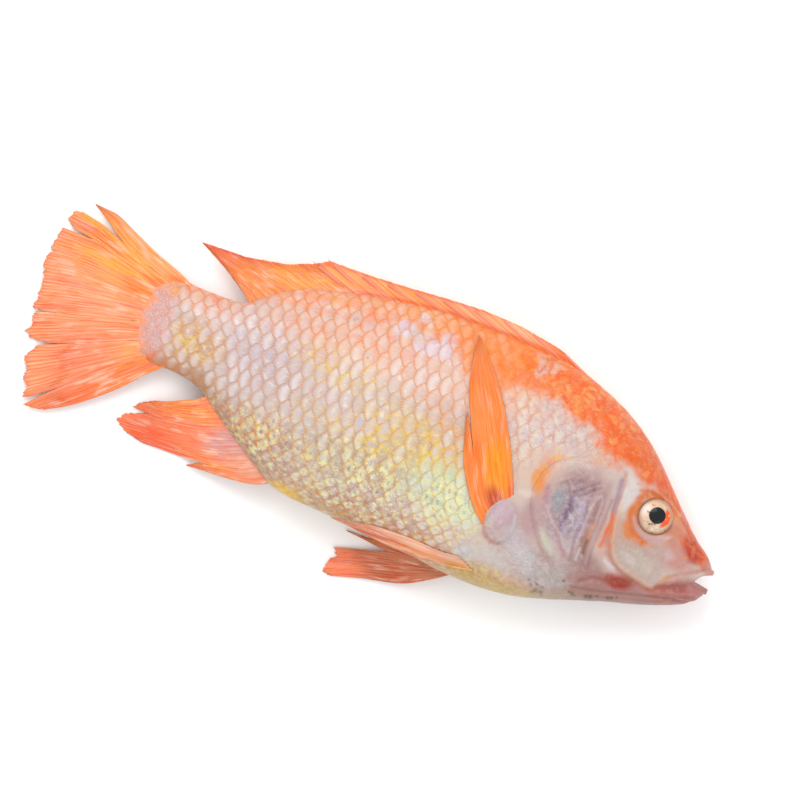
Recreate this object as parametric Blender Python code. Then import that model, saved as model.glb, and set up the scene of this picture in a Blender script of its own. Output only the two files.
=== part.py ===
"""A whole raw red tilapia, lying on its left side with the right side up.

The fish is drawn in side view, in millimetres: x runs from the tail fin to the snout, y from
the belly to the back, and z up from the surface it lies on. The body is a loft of oval
sections. The fins are thin ribbed sheets, fused to the body, and the eyes are separate balls
that sit in their sockets.
"""

import math

import bmesh
import bpy
import numpy as np

MM = 0.001

# Middle of the side view's outline, which is put over the origin.
OUTLINE_CENTRE = (-1.3, 3.7)

# Outline of the body without its fins, as stations of x and y.
BACK_LINE = (
    (-109, 21.0), (-107, 26.0), (-104, 30.5), (-100, 32.8), (-95, 33.6), (-90, 33.2), (-80, 33.0),
    (-72, 33.4), (-67, 35.2), (-60, 41.5), (-50, 47.2), (-40, 50.8), (-30, 53.5), (-15, 56.5),
    (0, 58.7), (15, 59.9), (35, 60.0), (50, 59.6), (60, 59.0), (70, 57.3), (80, 54.2), (90, 50.2),
    (100, 44.8), (110, 37.6), (120, 28.0), (130, 18.0), (140, 8.8), (147, 3.6), (151.5, -3.0),
)
BELLY_LINE = (
    (-109, 13.0), (-107, 6.5), (-104, 1.5), (-100, -2.2), (-95, -3.6), (-90, -2.9), (-80, -4.0),
    (-72, -7.0), (-65, -12.0), (-50, -22.0), (-40, -28.3), (-33, -32.2), (-25, -34.2),
    (-10, -35.2), (10, -36.5), (30, -38.6), (45, -40.4), (60, -41.0), (70, -40.4), (80, -38.6),
    (90, -35.6), (100, -32.4), (110, -29.0), (120, -26.1), (130, -23.0), (140, -19.2),
    (147, -15.0), (151.5, -8.0),
)
# Half the body's thickness, and the height of its middle plane over the surface it lies on:
# the tail droops towards that surface.
HALF_WIDTH = (
    (-109, 0.6), (-106, 1.8), (-102, 3.6), (-97, 5.4), (-90, 7.0), (-80, 8.4), (-70, 9.9),
    (-50, 13.2), (-30, 16.5), (-10, 19.2), (10, 21.2), (30, 22.3), (50, 22.8), (70, 22.8),
    (85, 22.2), (100, 20.6), (110, 18.9), (120, 16.8), (130, 14.2), (138, 11.5), (145, 8.4),
    (149, 6.0), (151.5, 3.2),
)
MIDDLE_HEIGHT = (
    (-150, 1.6), (-125, 3.2), (-109, 5.2), (-100, 6.6), (-90, 8.2), (-70, 10.8), (-50, 13.6),
    (-30, 16.6), (-10, 19.0), (10, 20.5), (30, 21.3), (60, 21.6), (90, 21.8), (110, 21.4),
    (125, 20.6), (140, 19.6), (151.5, 19.0),
)
# A section is an oval whose side bulges more than an ellipse at the belly, less at the back.
BACK_FULLNESS = 1.12
BELLY_FULLNESS = 0.90

# Where the loft's rings lie: close together on the head, wider apart on the trunk.
HEAD_FROM, SNOUT = 64.0, 151.5
HEAD_RING_PITCH, TRUNK_RING_PITCH = 2.3, 6.0
TAIL_STUMP_RINGS = (-109.0, -107.5, -105.0, -102.0)
RING_POINTS = 44
SECTION_SAMPLES = 720

# The eye is a flattened ball, and its socket is larger by the play round it.
EYE_CENTRE, EYE_RADIUS, EYE_FLATNESS = (119.3, 11.8), 7.6, 0.62
EYE_STANDS_OUT, EYE_PLAY = 0.8, 0.3
EYE_TURNS, EYE_BANDS = 28, 14

# Gape between the jaws, cut through from side to side, and the hollow of the mouth behind it.
GAPE = (
    (143.8, -7.4), (145.2, -5.0), (147.4, -3.1), (150.4, -1.7), (156.0, -1.0), (156.0, -8.7),
    (151.4, -8.7), (147.0, -8.0),
)
GAPE_HALF_DEPTH = 40.0
MOUTH_CENTRE, MOUTH_RADII = (146.5, -5.6), (9.5, 4.0, 5.4)

# The lips run round the gape from corner to corner: x, y and the distance out from the middle
# plane, from the corner to the front.
UPPER_LIP = (
    (141.6, -7.2, 6.6), (144.4, -4.9, 8.0), (146.6, -2.4, 6.5), (147.8, -1.1, 3.6), (148.2, -0.8, 0),
)
LOWER_LIP = (
    (141.6, -8.4, 6.6), (144.6, -9.2, 7.8), (147.0, -9.8, 6.0), (148.4, -10.1, 3.2), (148.8, -10.2, 0),
)
LIP_RADIUS, LIP_TURNS = 1.6, 8

# A fin that stands free is thin. One that lies against the skin is thick enough for its inner
# face to be well inside the body, and stands out from the skin by the rest.
FREE_THICKNESS, LAID_THICKNESS, LAID_STANDS_OUT = 1.1, 3.4, 0.85
RAY_RELIEF = 0.28


def smooth_line(stations):
    """A smooth curve through stations of x and y that doesn't overshoot between them."""
    x, y = np.array(sorted(stations), float).T
    step = np.diff(x)
    slope = np.diff(y) / step
    inner = np.where(
        slope[:-1] * slope[1:] > 0,
        2 * slope[:-1] * slope[1:] / np.where(slope[:-1] + slope[1:] == 0, 1, slope[:-1] + slope[1:]),
        0.0,
    )
    tangent = np.concatenate([slope[:1], inner, slope[-1:]])

    def at(value):
        value = np.clip(np.asarray(value, float), x[0], x[-1])
        i = np.clip(np.searchsorted(x, value, side="right") - 1, 0, len(step) - 1)
        t = (value - x[i]) / step[i]
        return (
            y[i] * (1 + 2 * t) * (1 - t) ** 2
            + tangent[i] * step[i] * t * (1 - t) ** 2
            + y[i + 1] * t**2 * (3 - 2 * t)
            + tangent[i + 1] * step[i] * t**2 * (t - 1)
        )

    return at


back = smooth_line(BACK_LINE)
belly = smooth_line(BELLY_LINE)
half_width = smooth_line(HALF_WIDTH)
middle_height = smooth_line(MIDDLE_HEIGHT)


def ease(value):
    """A smooth step from 0 to 1."""
    value = np.clip(value, 0.0, 1.0)
    return value * value * (3 - 2 * value)


def swelling(x, y, centre, radii, height):
    """A round swelling or, with a negative height, a hollow."""
    reach = np.hypot((x - centre[0]) / radii[0], (y - centre[1]) / radii[1])
    return height * ease(1 - reach)


def behind(x, y, edge, width):
    """1 on the tail's side of an edge that runs down the side view, and 0 past it."""
    edge_y, edge_x = np.array(sorted((b, a) for a, b in edge), float).T
    return ease((np.interp(y, edge_y, edge_x) - x) / width + 0.5)


# Edges that run down the side of the head, from its top to the throat.
GILL_COVER_EDGE = (
    (90, 60), (86, 25.5), (79, 22.5), (73, 18), (69.5, 12), (68.5, 5), (70, -2), (73, -8),
    (78, -15), (85, -22), (95, -30), (110, -60),
)
CHEEK_EDGE = (
    (104, 60), (103, 21), (103.5, 10), (104.5, 0), (106.5, -8), (111, -12.5), (119, -15.2),
    (128, -16.8), (150, -60),
)


def relief(x, y):
    """How far the skin stands out from the plain oval sections, on either side."""
    gill_cover = 1.5 * (1 - behind(x, y, GILL_COVER_EDGE, 3.0)) * ease((116 - x) / 20)
    cheek = 0.9 * (1 - behind(x, y, CHEEK_EDGE, 3.0)) * ease((146 - x) / 12)
    groove = -1.5 * np.exp(-(((x - 98.0 - 0.08 * y) / 2.6) ** 2)) * ease((26 - abs(y)) / 10)
    hollow = swelling(x, y, (84, 3), (13, 20), -2.6)
    eye_ring = swelling(x, y, EYE_CENTRE, (13, 13), 1.6)
    fin_pad = swelling(x, y, (60.5, -11.5), (8.5, 12.5), 3.0)
    jaw_groove = -1.0 * np.exp(-(((y + 11.5 - 0.3 * (x - 138)) / 1.8) ** 2)) * ease((x - 128) / 6)
    return gill_cover + cheek + groove + hollow + eye_ring + fin_pad + jaw_groove


def side_height(x, y, side):
    """Height of the skin at a point of the side view: side is 1 for the upper side, -1 below."""
    middle, reach = (back(x) + belly(x)) / 2, (back(x) - belly(x)) / 2
    share = np.clip((y - middle) / reach, -1, 1)
    fullness = BELLY_FULLNESS + (BACK_FULLNESS - BELLY_FULLNESS) * (1 + share) / 2
    bulge = (1 - share**2) ** (fullness / 2)
    height = middle_height(x) + side * (half_width(x) * bulge + relief(x, y) * bulge)
    return np.maximum(height, 0.0)


def section(x):
    """Points of y and z round the section at x, evenly spaced, from the back over the right side."""
    turn = np.linspace(0, 2 * math.pi, SECTION_SAMPLES + 1)
    y = (back(x) + belly(x)) / 2 + (back(x) - belly(x)) / 2 * np.cos(turn)
    z = np.where(turn <= math.pi, side_height(x, y, 1), side_height(x, y, -1))
    travelled = np.concatenate([[0], np.cumsum(np.hypot(np.diff(y), np.diff(z)))])
    even = np.linspace(0, travelled[-1], RING_POINTS + 1)
    return np.interp(even, travelled, y), np.interp(even, travelled, z)


def ring_places():
    """The x of every ring, from the tail's stump to the snout."""
    trunk_from = TAIL_STUMP_RINGS[-1]
    trunk = np.linspace(trunk_from, HEAD_FROM, round((HEAD_FROM - trunk_from) / TRUNK_RING_PITCH) + 1)
    head = np.linspace(HEAD_FROM, SNOUT, round((SNOUT - HEAD_FROM) / HEAD_RING_PITCH) + 1)
    return np.concatenate([TAIL_STUMP_RINGS[:-1], trunk, head[1:]])


def in_metres(x, y, z):
    """A point of the side view in the part's frame."""
    return ((x - OUTLINE_CENTRE[0]) * MM, (y - OUTLINE_CENTRE[1]) * MM, z * MM)


def new_object(name, bm, collection, finish):
    """An object from a bmesh, shaded smooth, with its material."""
    mesh = bpy.data.meshes.new(name)
    bm.to_mesh(mesh)
    bm.free()
    mesh.shade_smooth()
    mesh.materials.append(finish)
    made = bpy.data.objects.new(name, mesh)
    collection.objects.link(made)
    return made


def finish_of(name, colour, roughness):
    """A plain Principled material in the part's colour."""
    made = bpy.data.materials.new(name)
    made.use_nodes = True
    shader = made.node_tree.nodes["Principled BSDF"]
    shader.inputs["Base Color"].default_value = (*colour, 1)
    shader.inputs["Roughness"].default_value = roughness
    shader.inputs["Metallic"].default_value = 0.0
    return made


def body_loft(collection, finish):
    """The trunk and head: a grid rolled into a tube, one row of it for each section."""
    places = ring_places()
    sections = [section(x) for x in places]
    bm = bmesh.new()
    bmesh.ops.create_grid(bm, x_segments=len(places) - 1, y_segments=RING_POINTS, size=1)
    for v in bm.verts:
        ring = round((v.co.x + 1) / 2 * (len(places) - 1))
        point = round((v.co.y + 1) / 2 * RING_POINTS)
        y, z = sections[ring]
        v.co = in_metres(places[ring], y[point], z[point])
    bmesh.ops.remove_doubles(bm, verts=bm.verts, dist=0.01 * MM)
    bmesh.ops.holes_fill(bm, edges=[e for e in bm.edges if e.is_boundary], sides=0)
    bmesh.ops.recalc_face_normals(bm, faces=bm.faces)
    return new_object("fish", bm, collection, finish)


def along(points, share):
    """The point at a share of the way along a rib, its points evenly spaced in share."""
    points = np.array(points, float)
    place = np.linspace(0, 1, len(points))
    return np.array([np.interp(share, place, points[:, i]) for i in range(2)])


def along_edge(points, share):
    """The point at a share of the length of a fin's free edge."""
    points = np.array(points, float)
    travelled = np.concatenate([[0], np.cumsum(np.hypot(*np.diff(points, axis=0).T))])
    if travelled[-1] == 0:
        return points[0]
    return np.array([np.interp(share * travelled[-1], travelled, points[:, i]) for i in range(2)])


def lobe_point(lobe, across, out):
    """The side view point of a lobe, across it from rib to rib and out from its base."""
    first, last, edge = lobe["first"], lobe["last"], lobe["edge"]
    point = (1 - across) * along(first, out) + across * along(last, out)
    straight = (1 - across) * along(first, 1) + across * along(last, 1)
    free = along_edge((first[-1], *edge, last[-1]), across)
    return point + out**4 * (free - straight)


def thicken(bm, thickness):
    """Makes a closed solid of a sheet by raising a copy of it."""
    lifted = bmesh.ops.extrude_face_region(bm, geom=bm.faces)["geom"]
    rising = [g for g in lifted if isinstance(g, bmesh.types.BMVert)]
    bmesh.ops.translate(bm, verts=rising, vec=(0, 0, thickness * MM))
    bmesh.ops.recalc_face_normals(bm, faces=bm.faces)


def fin_sheet(name, lobes, rows, height, thickness, collection, finish):
    """A fin: lobes of ribbed sheet, welded where their ribs are the same, with a thickness."""
    bm = bmesh.new()
    for lobe in lobes:
        columns = lobe["columns"]
        pointed = lobe["first"][-1] == lobe["last"][-1]
        grid = bmesh.ops.create_grid(bm, x_segments=columns, y_segments=rows, size=1)
        for v in grid["verts"]:
            column = round((v.co.x + 1) / 2 * columns)
            out = round((v.co.y + 1) / 2 * rows) / rows
            x, y = lobe_point(lobe, column / columns, out)
            ridge = RAY_RELIEF * (1 if column % 2 else -1) * ease(3 * out)
            if column in (0, columns) or (pointed and out == 1):
                ridge = 0
            v.co = in_metres(x, y, height(x, y, column / columns, out) + ridge - thickness / 2)
    bmesh.ops.remove_doubles(bm, verts=bm.verts, dist=0.02 * MM)
    thicken(bm, thickness)
    return new_object(name, bm, collection, finish)


def lobe(first, last, edge=(), columns=3):
    """One lobe of a fin, between two ribs that run from the base to the free edge."""
    return {"first": first, "last": last, "edge": edge, "columns": columns}


def tail_lobes():
    """The tail fin: a fan torn in three places, its free edge ragged."""
    top = ((-88, 31), (-98, 35.6), (-110, 39.9), (-122, 45.2), (-133, 49.6), (-142, 50.3))
    stem_1 = ((-88, 27.5), (-100, 30.4), (-112, 34.2), (-123.5, 38.6))
    stem_2 = ((-88, 24.5), (-100, 27), (-112, 30), (-125, 33.3), (-137, 36.1))
    stem_3 = ((-88, 15), (-100, 12.9), (-112, 10.2), (-125, 6.8), (-137, 3.5))
    stem_4 = ((-88, 9), (-99, 5.8), (-110, 1.8), (-122, -3.6), (-131, -7.4))
    stem_5 = ((-88, 4), (-98, -1.5), (-108, -8.6), (-119, -17.5), (-129, -26.2))
    bottom = ((-88, -0.5), (-95, -6), (-104, -16), (-114, -25.2), (-123, -32), (-131.5, -36.9))
    return [
        lobe(top, (*stem_1, (-133, 44.6), (-142, 50.3))),
        lobe(
            (*stem_1, (-135, 43.1), (-145.5, 45.3)),
            (*stem_2, (-146.3, 37.6)),
            ((-148.8, 44.3), (-150.4, 40.8)),
            4,
        ),
        lobe(
            (*stem_2, (-151, 36.3)),
            (*stem_3, (-146.5, 1)),
            ((-152.6, 28.5), (-151.9, 25.5), (-153.4, 21.2), (-151.2, 14), (-150.4, 5), (-151.2, 1.2)),
            10,
        ),
        lobe(
            (*stem_3, (-148.7, 0.1)),
            (*stem_4, (-139.5, -10.4)),
            ((-149.8, -2.4), (-148.7, -5.2), (-150.2, -9.2), (-147, -11.1)),
            6,
        ),
        lobe(
            (*stem_4, (-143.5, -12.8)),
            (*stem_5, (-138.3, -33.4)),
            ((-146.8, -19.2), (-143.9, -24.6), (-144.7, -27.4), (-141.2, -30), (-142, -35.4)),
            6,
        ),
        lobe((*stem_5, (-140.4, -38)), bottom, ((-134, -37.3),), 3),
    ]


def tail_height(x, y, across, out):
    """The tail fin sinks from the stump to just over the surface, with a slight wave."""
    return max(middle_height(x) + 0.5 * out * math.sin(y / 7), 0.9)


def dorsal_lobes():
    """The dorsal fin: spines laid back along the front, soft rays drawn out to a point behind."""
    ribs = (
        ((77, 52.5), (74, 56)), ((66, 55), (57, 63)), ((52, 57), (41, 65.6)), ((36, 57.5), (24, 66.5)),
        ((20, 57.5), (7, 65.4)), ((4, 56.5), (-10, 63.9)), ((-10, 54.5), (-25, 63)),
        ((-20, 52.5), (-42.5, 62.8)), ((-28, 51), (-47.5, 59.8)), ((-38, 48), (-59, 55)),
        ((-47, 44.5), (-76, 51.8)), ((-55, 39.5), (-95, 51.2)), ((-60, 35), (-83, 45.1)),
        ((-64, 31), (-69.5, 36.8)),
    )
    return [lobe(first, last, columns=2) for first, last in zip(ribs, ribs[1:])]


def dorsal_height(x, y, across, out):
    """The dorsal fin stands in the body's middle plane."""
    return middle_height(x)


def anal_lobes():
    """The anal fin: a short spiny front lobe and a longer soft one with a tear."""
    front = ((-30, -30), (-40, -34.6), (-52, -36.2), (-61, -36.7), (-68.4, -37.3))
    stem = ((-38, -26), (-49, -31.2), (-59, -33.6))
    tear = ((-55, -15.5), (-67, -19.6), (-79, -22))
    rear = ((-68, -5), (-73, -9.6), (-79, -12.6), (-85, -15.4), (-90, -17.2))
    soft_edge = ((-97, -33.2), (-102, -29.8), (-98.8, -25.8))
    return [
        lobe(front, (*stem, (-64, -34.9), (-68.4, -37.3)), columns=3),
        lobe((*stem, (-74, -34.7), (-88, -35.1)), (*tear, (-86, -22.9), (-91, -23)), soft_edge, 8),
        lobe((*tear, (-86, -22.9), (-97.6, -22.6)), rear, ((-95, -19.8),), 4),
    ]


def anal_height(x, y, across, out):
    """The anal fin hangs from the middle plane down to the surface."""
    return max(middle_height(x) - 0.33 * max(belly(x) - y, 0), 1.0)


def left_pelvic_lobes():
    """The left pelvic fin, spread out on the surface, with one ray parted from the rest."""
    outer = ((55, -36), (44, -44.4), (32, -51.2), (17, -54.8), (3.5, -59.1))
    stem = ((51, -35.5), (38, -39.9), (24, -41))
    inner = ((48, -34), (36, -37.2), (24, -38.2), (12, -38.4), (3, -38.8))
    ragged = ((-0.5, -58.2), (0.2, -53), (3.5, -50.2))
    return [
        lobe(outer, (*stem, (12, -44), (0.5, -47.2)), ragged, 8),
        lobe((*stem, (12, -39.8), (3, -38.8)), inner, columns=2),
    ]


def left_pelvic_height(x, y, across, out):
    """The left pelvic fin runs down from the belly and lies flat towards its tip."""
    return 0.9 + 14.0 * (1 - out) ** 2.2


def right_pelvic_lobes():
    """The right pelvic fin, folded along the belly."""
    outer = ((58, -35.5), (46, -37.3), (34, -38.4), (21, -38.2), (8, -36.8), (-5, -35.7))
    inner = ((50, -32), (40, -32.6), (28, -32), (15, -32.4), (5, -34.3), (-5, -35.7))
    return [lobe(outer, inner, columns=5)]


def right_pelvic_height(x, y, across, out):
    """The right pelvic fin lies on the belly's skin and past its lower edge."""
    return side_height(x, max(y, belly(x) + 2.5), 1) + LAID_STANDS_OUT - LAID_THICKNESS / 2


def right_pectoral_lobes():
    """The right pectoral fin, laid up across the flank, with one short ray behind."""
    front = ((64, -5), (58, 8.7), (51.5, 22), (44, 34.5), (35, 46.2), (25.5, 56))
    stem = ((57.5, -14), (49, -6), (42, 7))
    rear = ((57, -18), (49.5, -12), (43, -3.5), (38.2, 5), (34.8, 15), (32.2, 24.8))
    return [
        lobe(front, (*stem, (35.5, 22), (28.5, 36), (25.5, 56)), columns=5),
        lobe((*stem, (37.5, 15), (34.5, 20.5), (32.2, 24.8)), rear, columns=2),
    ]


def right_pectoral_height(x, y, across, out):
    """The right pectoral fin lies on the flank's skin, its base inside the fleshy pad."""
    return side_height(x, y, 1) + LAID_STANDS_OUT * ease(6 * out) - LAID_THICKNESS / 2


def left_pectoral_lobes():
    """The left pectoral fin, folded back under the belly."""
    upper = ((63, -5), (50, -9), (36, -14.5), (21, -20.5), (7, -27))
    lower = ((61, -20), (49, -24), (36, -27.5), (21, -29.2), (7, -28))
    return [lobe(upper, lower, columns=5)]


def left_pectoral_height(x, y, across, out):
    """The left pectoral fin lies against the underside of the flank."""
    skin = side_height(x, y, -1)
    return max(skin - LAID_STANDS_OUT * ease(6 * out), 0.6) + LAID_THICKNESS / 2


def add_fins(collection, finish):
    """Every fin, each with its base inside the body."""
    free, laid = FREE_THICKNESS, LAID_THICKNESS
    for name, lobes, rows, height, thickness in (
        ("tail_fin", tail_lobes(), 5, tail_height, free),
        ("dorsal_fin", dorsal_lobes(), 3, dorsal_height, free),
        ("anal_fin", anal_lobes(), 4, anal_height, free),
        ("left_pelvic", left_pelvic_lobes(), 4, left_pelvic_height, free),
        ("right_pelvic", right_pelvic_lobes(), 5, right_pelvic_height, laid),
        ("right_pectoral", right_pectoral_lobes(), 10, right_pectoral_height, laid),
        ("left_pectoral", left_pectoral_lobes(), 6, left_pectoral_height, laid),
    ):
        fin_sheet(name, lobes, rows, height, thickness, collection, finish)


def lip(name, half_path, collection, finish):
    """A lip: a tube along a path and its mirror image, its ends inside the corners of the mouth."""
    path = [*half_path, *((x, y, -out) for x, y, out in half_path[-2::-1])]
    bm = bmesh.new()
    bmesh.ops.create_grid(bm, x_segments=len(path) - 1, y_segments=LIP_TURNS, size=1)
    for v in bm.verts:
        place = round((v.co.x + 1) / 2 * (len(path) - 1))
        turn = 2 * math.pi * round((v.co.y + 1) / 2 * LIP_TURNS) / LIP_TURNS
        x, y, out = path[place]
        heading = math.atan2(out, x - half_path[0][0] + 2)
        reach = LIP_RADIUS * math.cos(turn)
        x, out = x + reach * math.cos(heading), out + reach * math.sin(heading)
        v.co = in_metres(x, y + LIP_RADIUS * math.sin(turn), middle_height(x) + out)
    bmesh.ops.remove_doubles(bm, verts=bm.verts, dist=0.01 * MM)
    bmesh.ops.holes_fill(bm, edges=[e for e in bm.edges if e.is_boundary], sides=0)
    bmesh.ops.recalc_face_normals(bm, faces=bm.faces)
    return new_object(name, bm, collection, finish)


def ball(name, centre, radii, collection, finish):
    """A ball with its own radius along each axis."""
    bm = bmesh.new()
    bmesh.ops.create_uvsphere(bm, u_segments=EYE_TURNS, v_segments=EYE_BANDS, radius=1)
    for v in bm.verts:
        v.co = in_metres(*(c + r * a for c, r, a in zip(centre, radii, v.co)))
    return new_object(name, bm, collection, finish)


def eye_place(side):
    """Centre of the eyeball on the upper side, 1, or the lower side, -1."""
    x, y = EYE_CENTRE
    skin = middle_height(x) + side * (side_height(x, y, 1) - middle_height(x))
    return x, y, skin + side * (EYE_STANDS_OUT - EYE_RADIUS * EYE_FLATNESS)


def add_eyes(collection, finish):
    """The two eyeballs."""
    radii = (EYE_RADIUS, EYE_RADIUS, EYE_RADIUS * EYE_FLATNESS)
    for name, side in (("eye_right", 1), ("eye_left", -1)):
        ball(name, eye_place(side), radii, collection, finish)


def add_cutters(collection, finish):
    """Cutters for the eye sockets, the gape and the hollow of the mouth."""
    socket = EYE_RADIUS + EYE_PLAY
    for name, side in (("socket_right", 1), ("socket_left", -1)):
        radii = (socket, socket, EYE_RADIUS * EYE_FLATNESS + EYE_PLAY)
        ball(name, eye_place(side), radii, collection, finish)
    x, y = MOUTH_CENTRE
    ball("mouth_hollow", (x, y, middle_height(x)), MOUTH_RADII, collection, finish)
    bm = bmesh.new()
    bm.faces.new([bm.verts.new(in_metres(x, y, -GAPE_HALF_DEPTH)) for x, y in GAPE])
    thicken(bm, 2 * GAPE_HALF_DEPTH)
    new_object("gape", bm, collection, finish)


def join_or_cut(body, collection, operation):
    """Applies one Boolean of a whole collection to the body, and removes the collection."""
    boolean = body.modifiers.new(collection.name, "BOOLEAN")
    boolean.operation = operation
    boolean.operand_type = "COLLECTION"
    boolean.collection = collection
    boolean.solver = "MANIFOLD"
    bpy.context.view_layer.update()
    shaped = body.evaluated_get(bpy.context.evaluated_depsgraph_get())
    mesh = bpy.data.meshes.new_from_object(shaped)
    body.modifiers.clear()
    body.data = mesh
    for used in list(collection.objects):
        bpy.data.objects.remove(used)
    bpy.data.collections.remove(collection)


def new_collection(name):
    """A collection in the scene."""
    made = bpy.data.collections.new(name)
    bpy.context.scene.collection.children.link(made)
    return made


def main():
    """Builds the fish and its eyes."""
    for old in list(bpy.data.objects):
        bpy.data.objects.remove(old)
    fish_parts, outer, cutters = (new_collection(n) for n in ("red_tilapia", "fins_and_lips", "cutters"))
    skin = finish_of("fish_skin", (0.86, 0.47, 0.33), 0.38)
    eye = finish_of("fish_eye", (0.72, 0.58, 0.42), 0.12)
    body = body_loft(fish_parts, skin)
    add_cutters(cutters, skin)
    join_or_cut(body, cutters, "DIFFERENCE")
    add_fins(outer, skin)
    lip("upper_lip", UPPER_LIP, outer, skin)
    lip("lower_lip", LOWER_LIP, outer, skin)
    join_or_cut(body, outer, "UNION")
    add_eyes(fish_parts, eye)


main()
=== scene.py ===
"""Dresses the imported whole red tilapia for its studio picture.

Shapes are worked out in the side view, in millimetres, with the same named lines as the
part's source: x runs from the tail fin to the snout, y from the belly to the back, and z up
from the floor that the fish lies on.
"""

import logging
import math
from collections.abc import Callable, Iterable
from dataclasses import dataclass, field
from enum import Enum

import bmesh
import bpy
import mathutils
import numpy as np
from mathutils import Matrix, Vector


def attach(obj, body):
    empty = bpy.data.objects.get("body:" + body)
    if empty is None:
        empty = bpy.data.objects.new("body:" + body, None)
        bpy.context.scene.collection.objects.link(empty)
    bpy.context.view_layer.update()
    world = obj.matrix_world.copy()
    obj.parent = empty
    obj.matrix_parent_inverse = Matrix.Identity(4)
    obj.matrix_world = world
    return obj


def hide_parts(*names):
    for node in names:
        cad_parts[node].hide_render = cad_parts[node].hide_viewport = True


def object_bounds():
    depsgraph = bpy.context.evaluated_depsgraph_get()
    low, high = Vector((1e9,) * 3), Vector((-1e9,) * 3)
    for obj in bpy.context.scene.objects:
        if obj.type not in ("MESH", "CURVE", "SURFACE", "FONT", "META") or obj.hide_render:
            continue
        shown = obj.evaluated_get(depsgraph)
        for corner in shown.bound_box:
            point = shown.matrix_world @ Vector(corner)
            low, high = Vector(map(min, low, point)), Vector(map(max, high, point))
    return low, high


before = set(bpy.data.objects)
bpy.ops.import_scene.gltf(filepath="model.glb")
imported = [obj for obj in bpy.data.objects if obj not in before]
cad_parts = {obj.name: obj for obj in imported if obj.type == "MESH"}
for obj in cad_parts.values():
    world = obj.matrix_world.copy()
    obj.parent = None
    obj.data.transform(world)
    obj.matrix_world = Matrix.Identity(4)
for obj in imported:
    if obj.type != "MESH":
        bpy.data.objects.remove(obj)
CAD_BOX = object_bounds()
LOG = logging.getLogger("red_tilapia")

# Lengths are in millimetres. No skin is nearer to the floor than FLOOR_GAP, and vertices closer
# together than WELD_GAP are merged.
MM = 0.001
OUTLINE_CENTRE = (-1.3, 3.7)
FLOOR_GAP = 0.02
WELD_GAP = 0.004

# The studio is bright, so the skin's and the fins' colours are darkened to these shares.
PAINT = 0.67
FIN_PAINT = 0.8

Array = np.ndarray
Socket = bpy.types.NodeSocket
Points = tuple[tuple[float, ...], ...]
Colour = tuple[int, int, int]
Stations = tuple[tuple[float, Colour], ...]
Values = dict[str, tuple[str, Array]]
Placed = tuple[Array, Values]


class Side(Enum):
    """Which flank of the fish: the upper one is its right side, the lower one its left."""

    UPPER = 1
    LOWER = -1


class Laid(Enum):
    """How a colour is laid over another, as the Mix node names it."""

    PAINT = "MIX"
    STAIN = "MULTIPLY"


def ease(value: Array | float) -> Array:
    """A smooth step from 0 to 1."""
    value = np.clip(value, 0.0, 1.0)
    return value * value * (3 - 2 * value)


def linear(colour: Iterable[float]) -> Array:
    """A display colour of 0 to 255 as linear light, by the sRGB curve."""
    share = np.asarray(colour, float) / 255
    return np.where(share <= 0.04045, share / 12.92, ((share + 0.055) / 1.055) ** 2.4)


def laid_over(tone: Array, colour: Array, share: Array) -> Array:
    """Linear colours with a share of another colour laid over them."""
    return tone + (colour - tone) * share[..., None]


def running(steps: Array) -> Array:
    """The running total of some steps, from 0."""
    return np.concatenate([[0], np.cumsum(steps)])


def in_metres(x: Array, y: Array, z: Array) -> Array:
    """Points of the side view in the part's frame."""
    centred = (np.asarray(x) - OUTLINE_CENTRE[0], np.asarray(y) - OUTLINE_CENTRE[1], z)
    return np.stack(np.broadcast_arrays(*centred), axis=-1) * MM


class SmoothCurve:
    """A curve through stations of x and y that doesn't overshoot between them."""

    def __init__(self, stations: Points) -> None:
        """Works out the tangents.

        Args:
            stations: Pairs of x and y, in any order.
        """
        self.x, self.y = np.array(sorted(stations), float).T
        self.step = np.diff(self.x)
        slope = np.diff(self.y) / self.step
        total = np.where(slope[:-1] + slope[1:] == 0, 1, slope[:-1] + slope[1:])
        level = slope[:-1] * slope[1:]
        inner = np.where(level > 0, 2 * level / total, 0.0)
        self.tangent = np.concatenate([slope[:1], inner, slope[-1:]])

    def __call__(self, value: Array | float) -> Array:
        """The curve's height.

        Args:
            value: Places along x; past the ends the curve stays level.

        Returns:
            The height at each place.
        """
        value = np.clip(np.asarray(value, float), self.x[0], self.x[-1])
        i = np.clip(np.searchsorted(self.x, value, side="right") - 1, 0, len(self.step) - 1)
        t = (value - self.x[i]) / self.step[i]
        return (
            self.y[i] * (1 + 2 * t) * (1 - t) ** 2
            + self.tangent[i] * self.step[i] * t * (1 - t) ** 2
            + self.y[i + 1] * t**2 * (3 - 2 * t)
            + self.tangent[i + 1] * self.step[i] * t**2 * (t - 1)
        )


def curves_through(points: Points | Array) -> list[SmoothCurve]:
    """A curve for each coordinate of some points, which are evenly spaced from 0 to 1."""
    columns = np.array(points, float).T
    places = np.linspace(0, 1, columns.shape[1])
    return [SmoothCurve(tuple(zip(places, column))) for column in columns]


class Ripple:
    """Smooth seeded noise between -1 and 1 over a plane."""

    count = 64

    def __init__(self, seed: int, size: float) -> None:
        """Draws the noise's lattice, its points a size apart in millimetres."""
        self.size = size
        self.lattice = np.random.default_rng(seed).uniform(-1, 1, (self.count, self.count))

    def __call__(self, x: Array, y: Array) -> Array:
        """The noise at points of the plane.

        Args:
            x: First coordinate.
            y: Second coordinate.

        Returns:
            A value for each point.
        """
        u, v = np.asarray(x) / self.size, np.asarray(y) / self.size
        i, j = np.floor(u).astype(int), np.floor(v).astype(int)
        s, t = ease(u - i), ease(v - j)
        i, j, right, above = (place % self.count for place in (i, j, i + 1, j + 1))
        a, b = self.lattice[i, j], self.lattice[right, j]
        c, d = self.lattice[i, above], self.lattice[right, above]
        return (a * (1 - s) + b * s) * (1 - t) + (c * (1 - s) + d * s) * t


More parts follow.
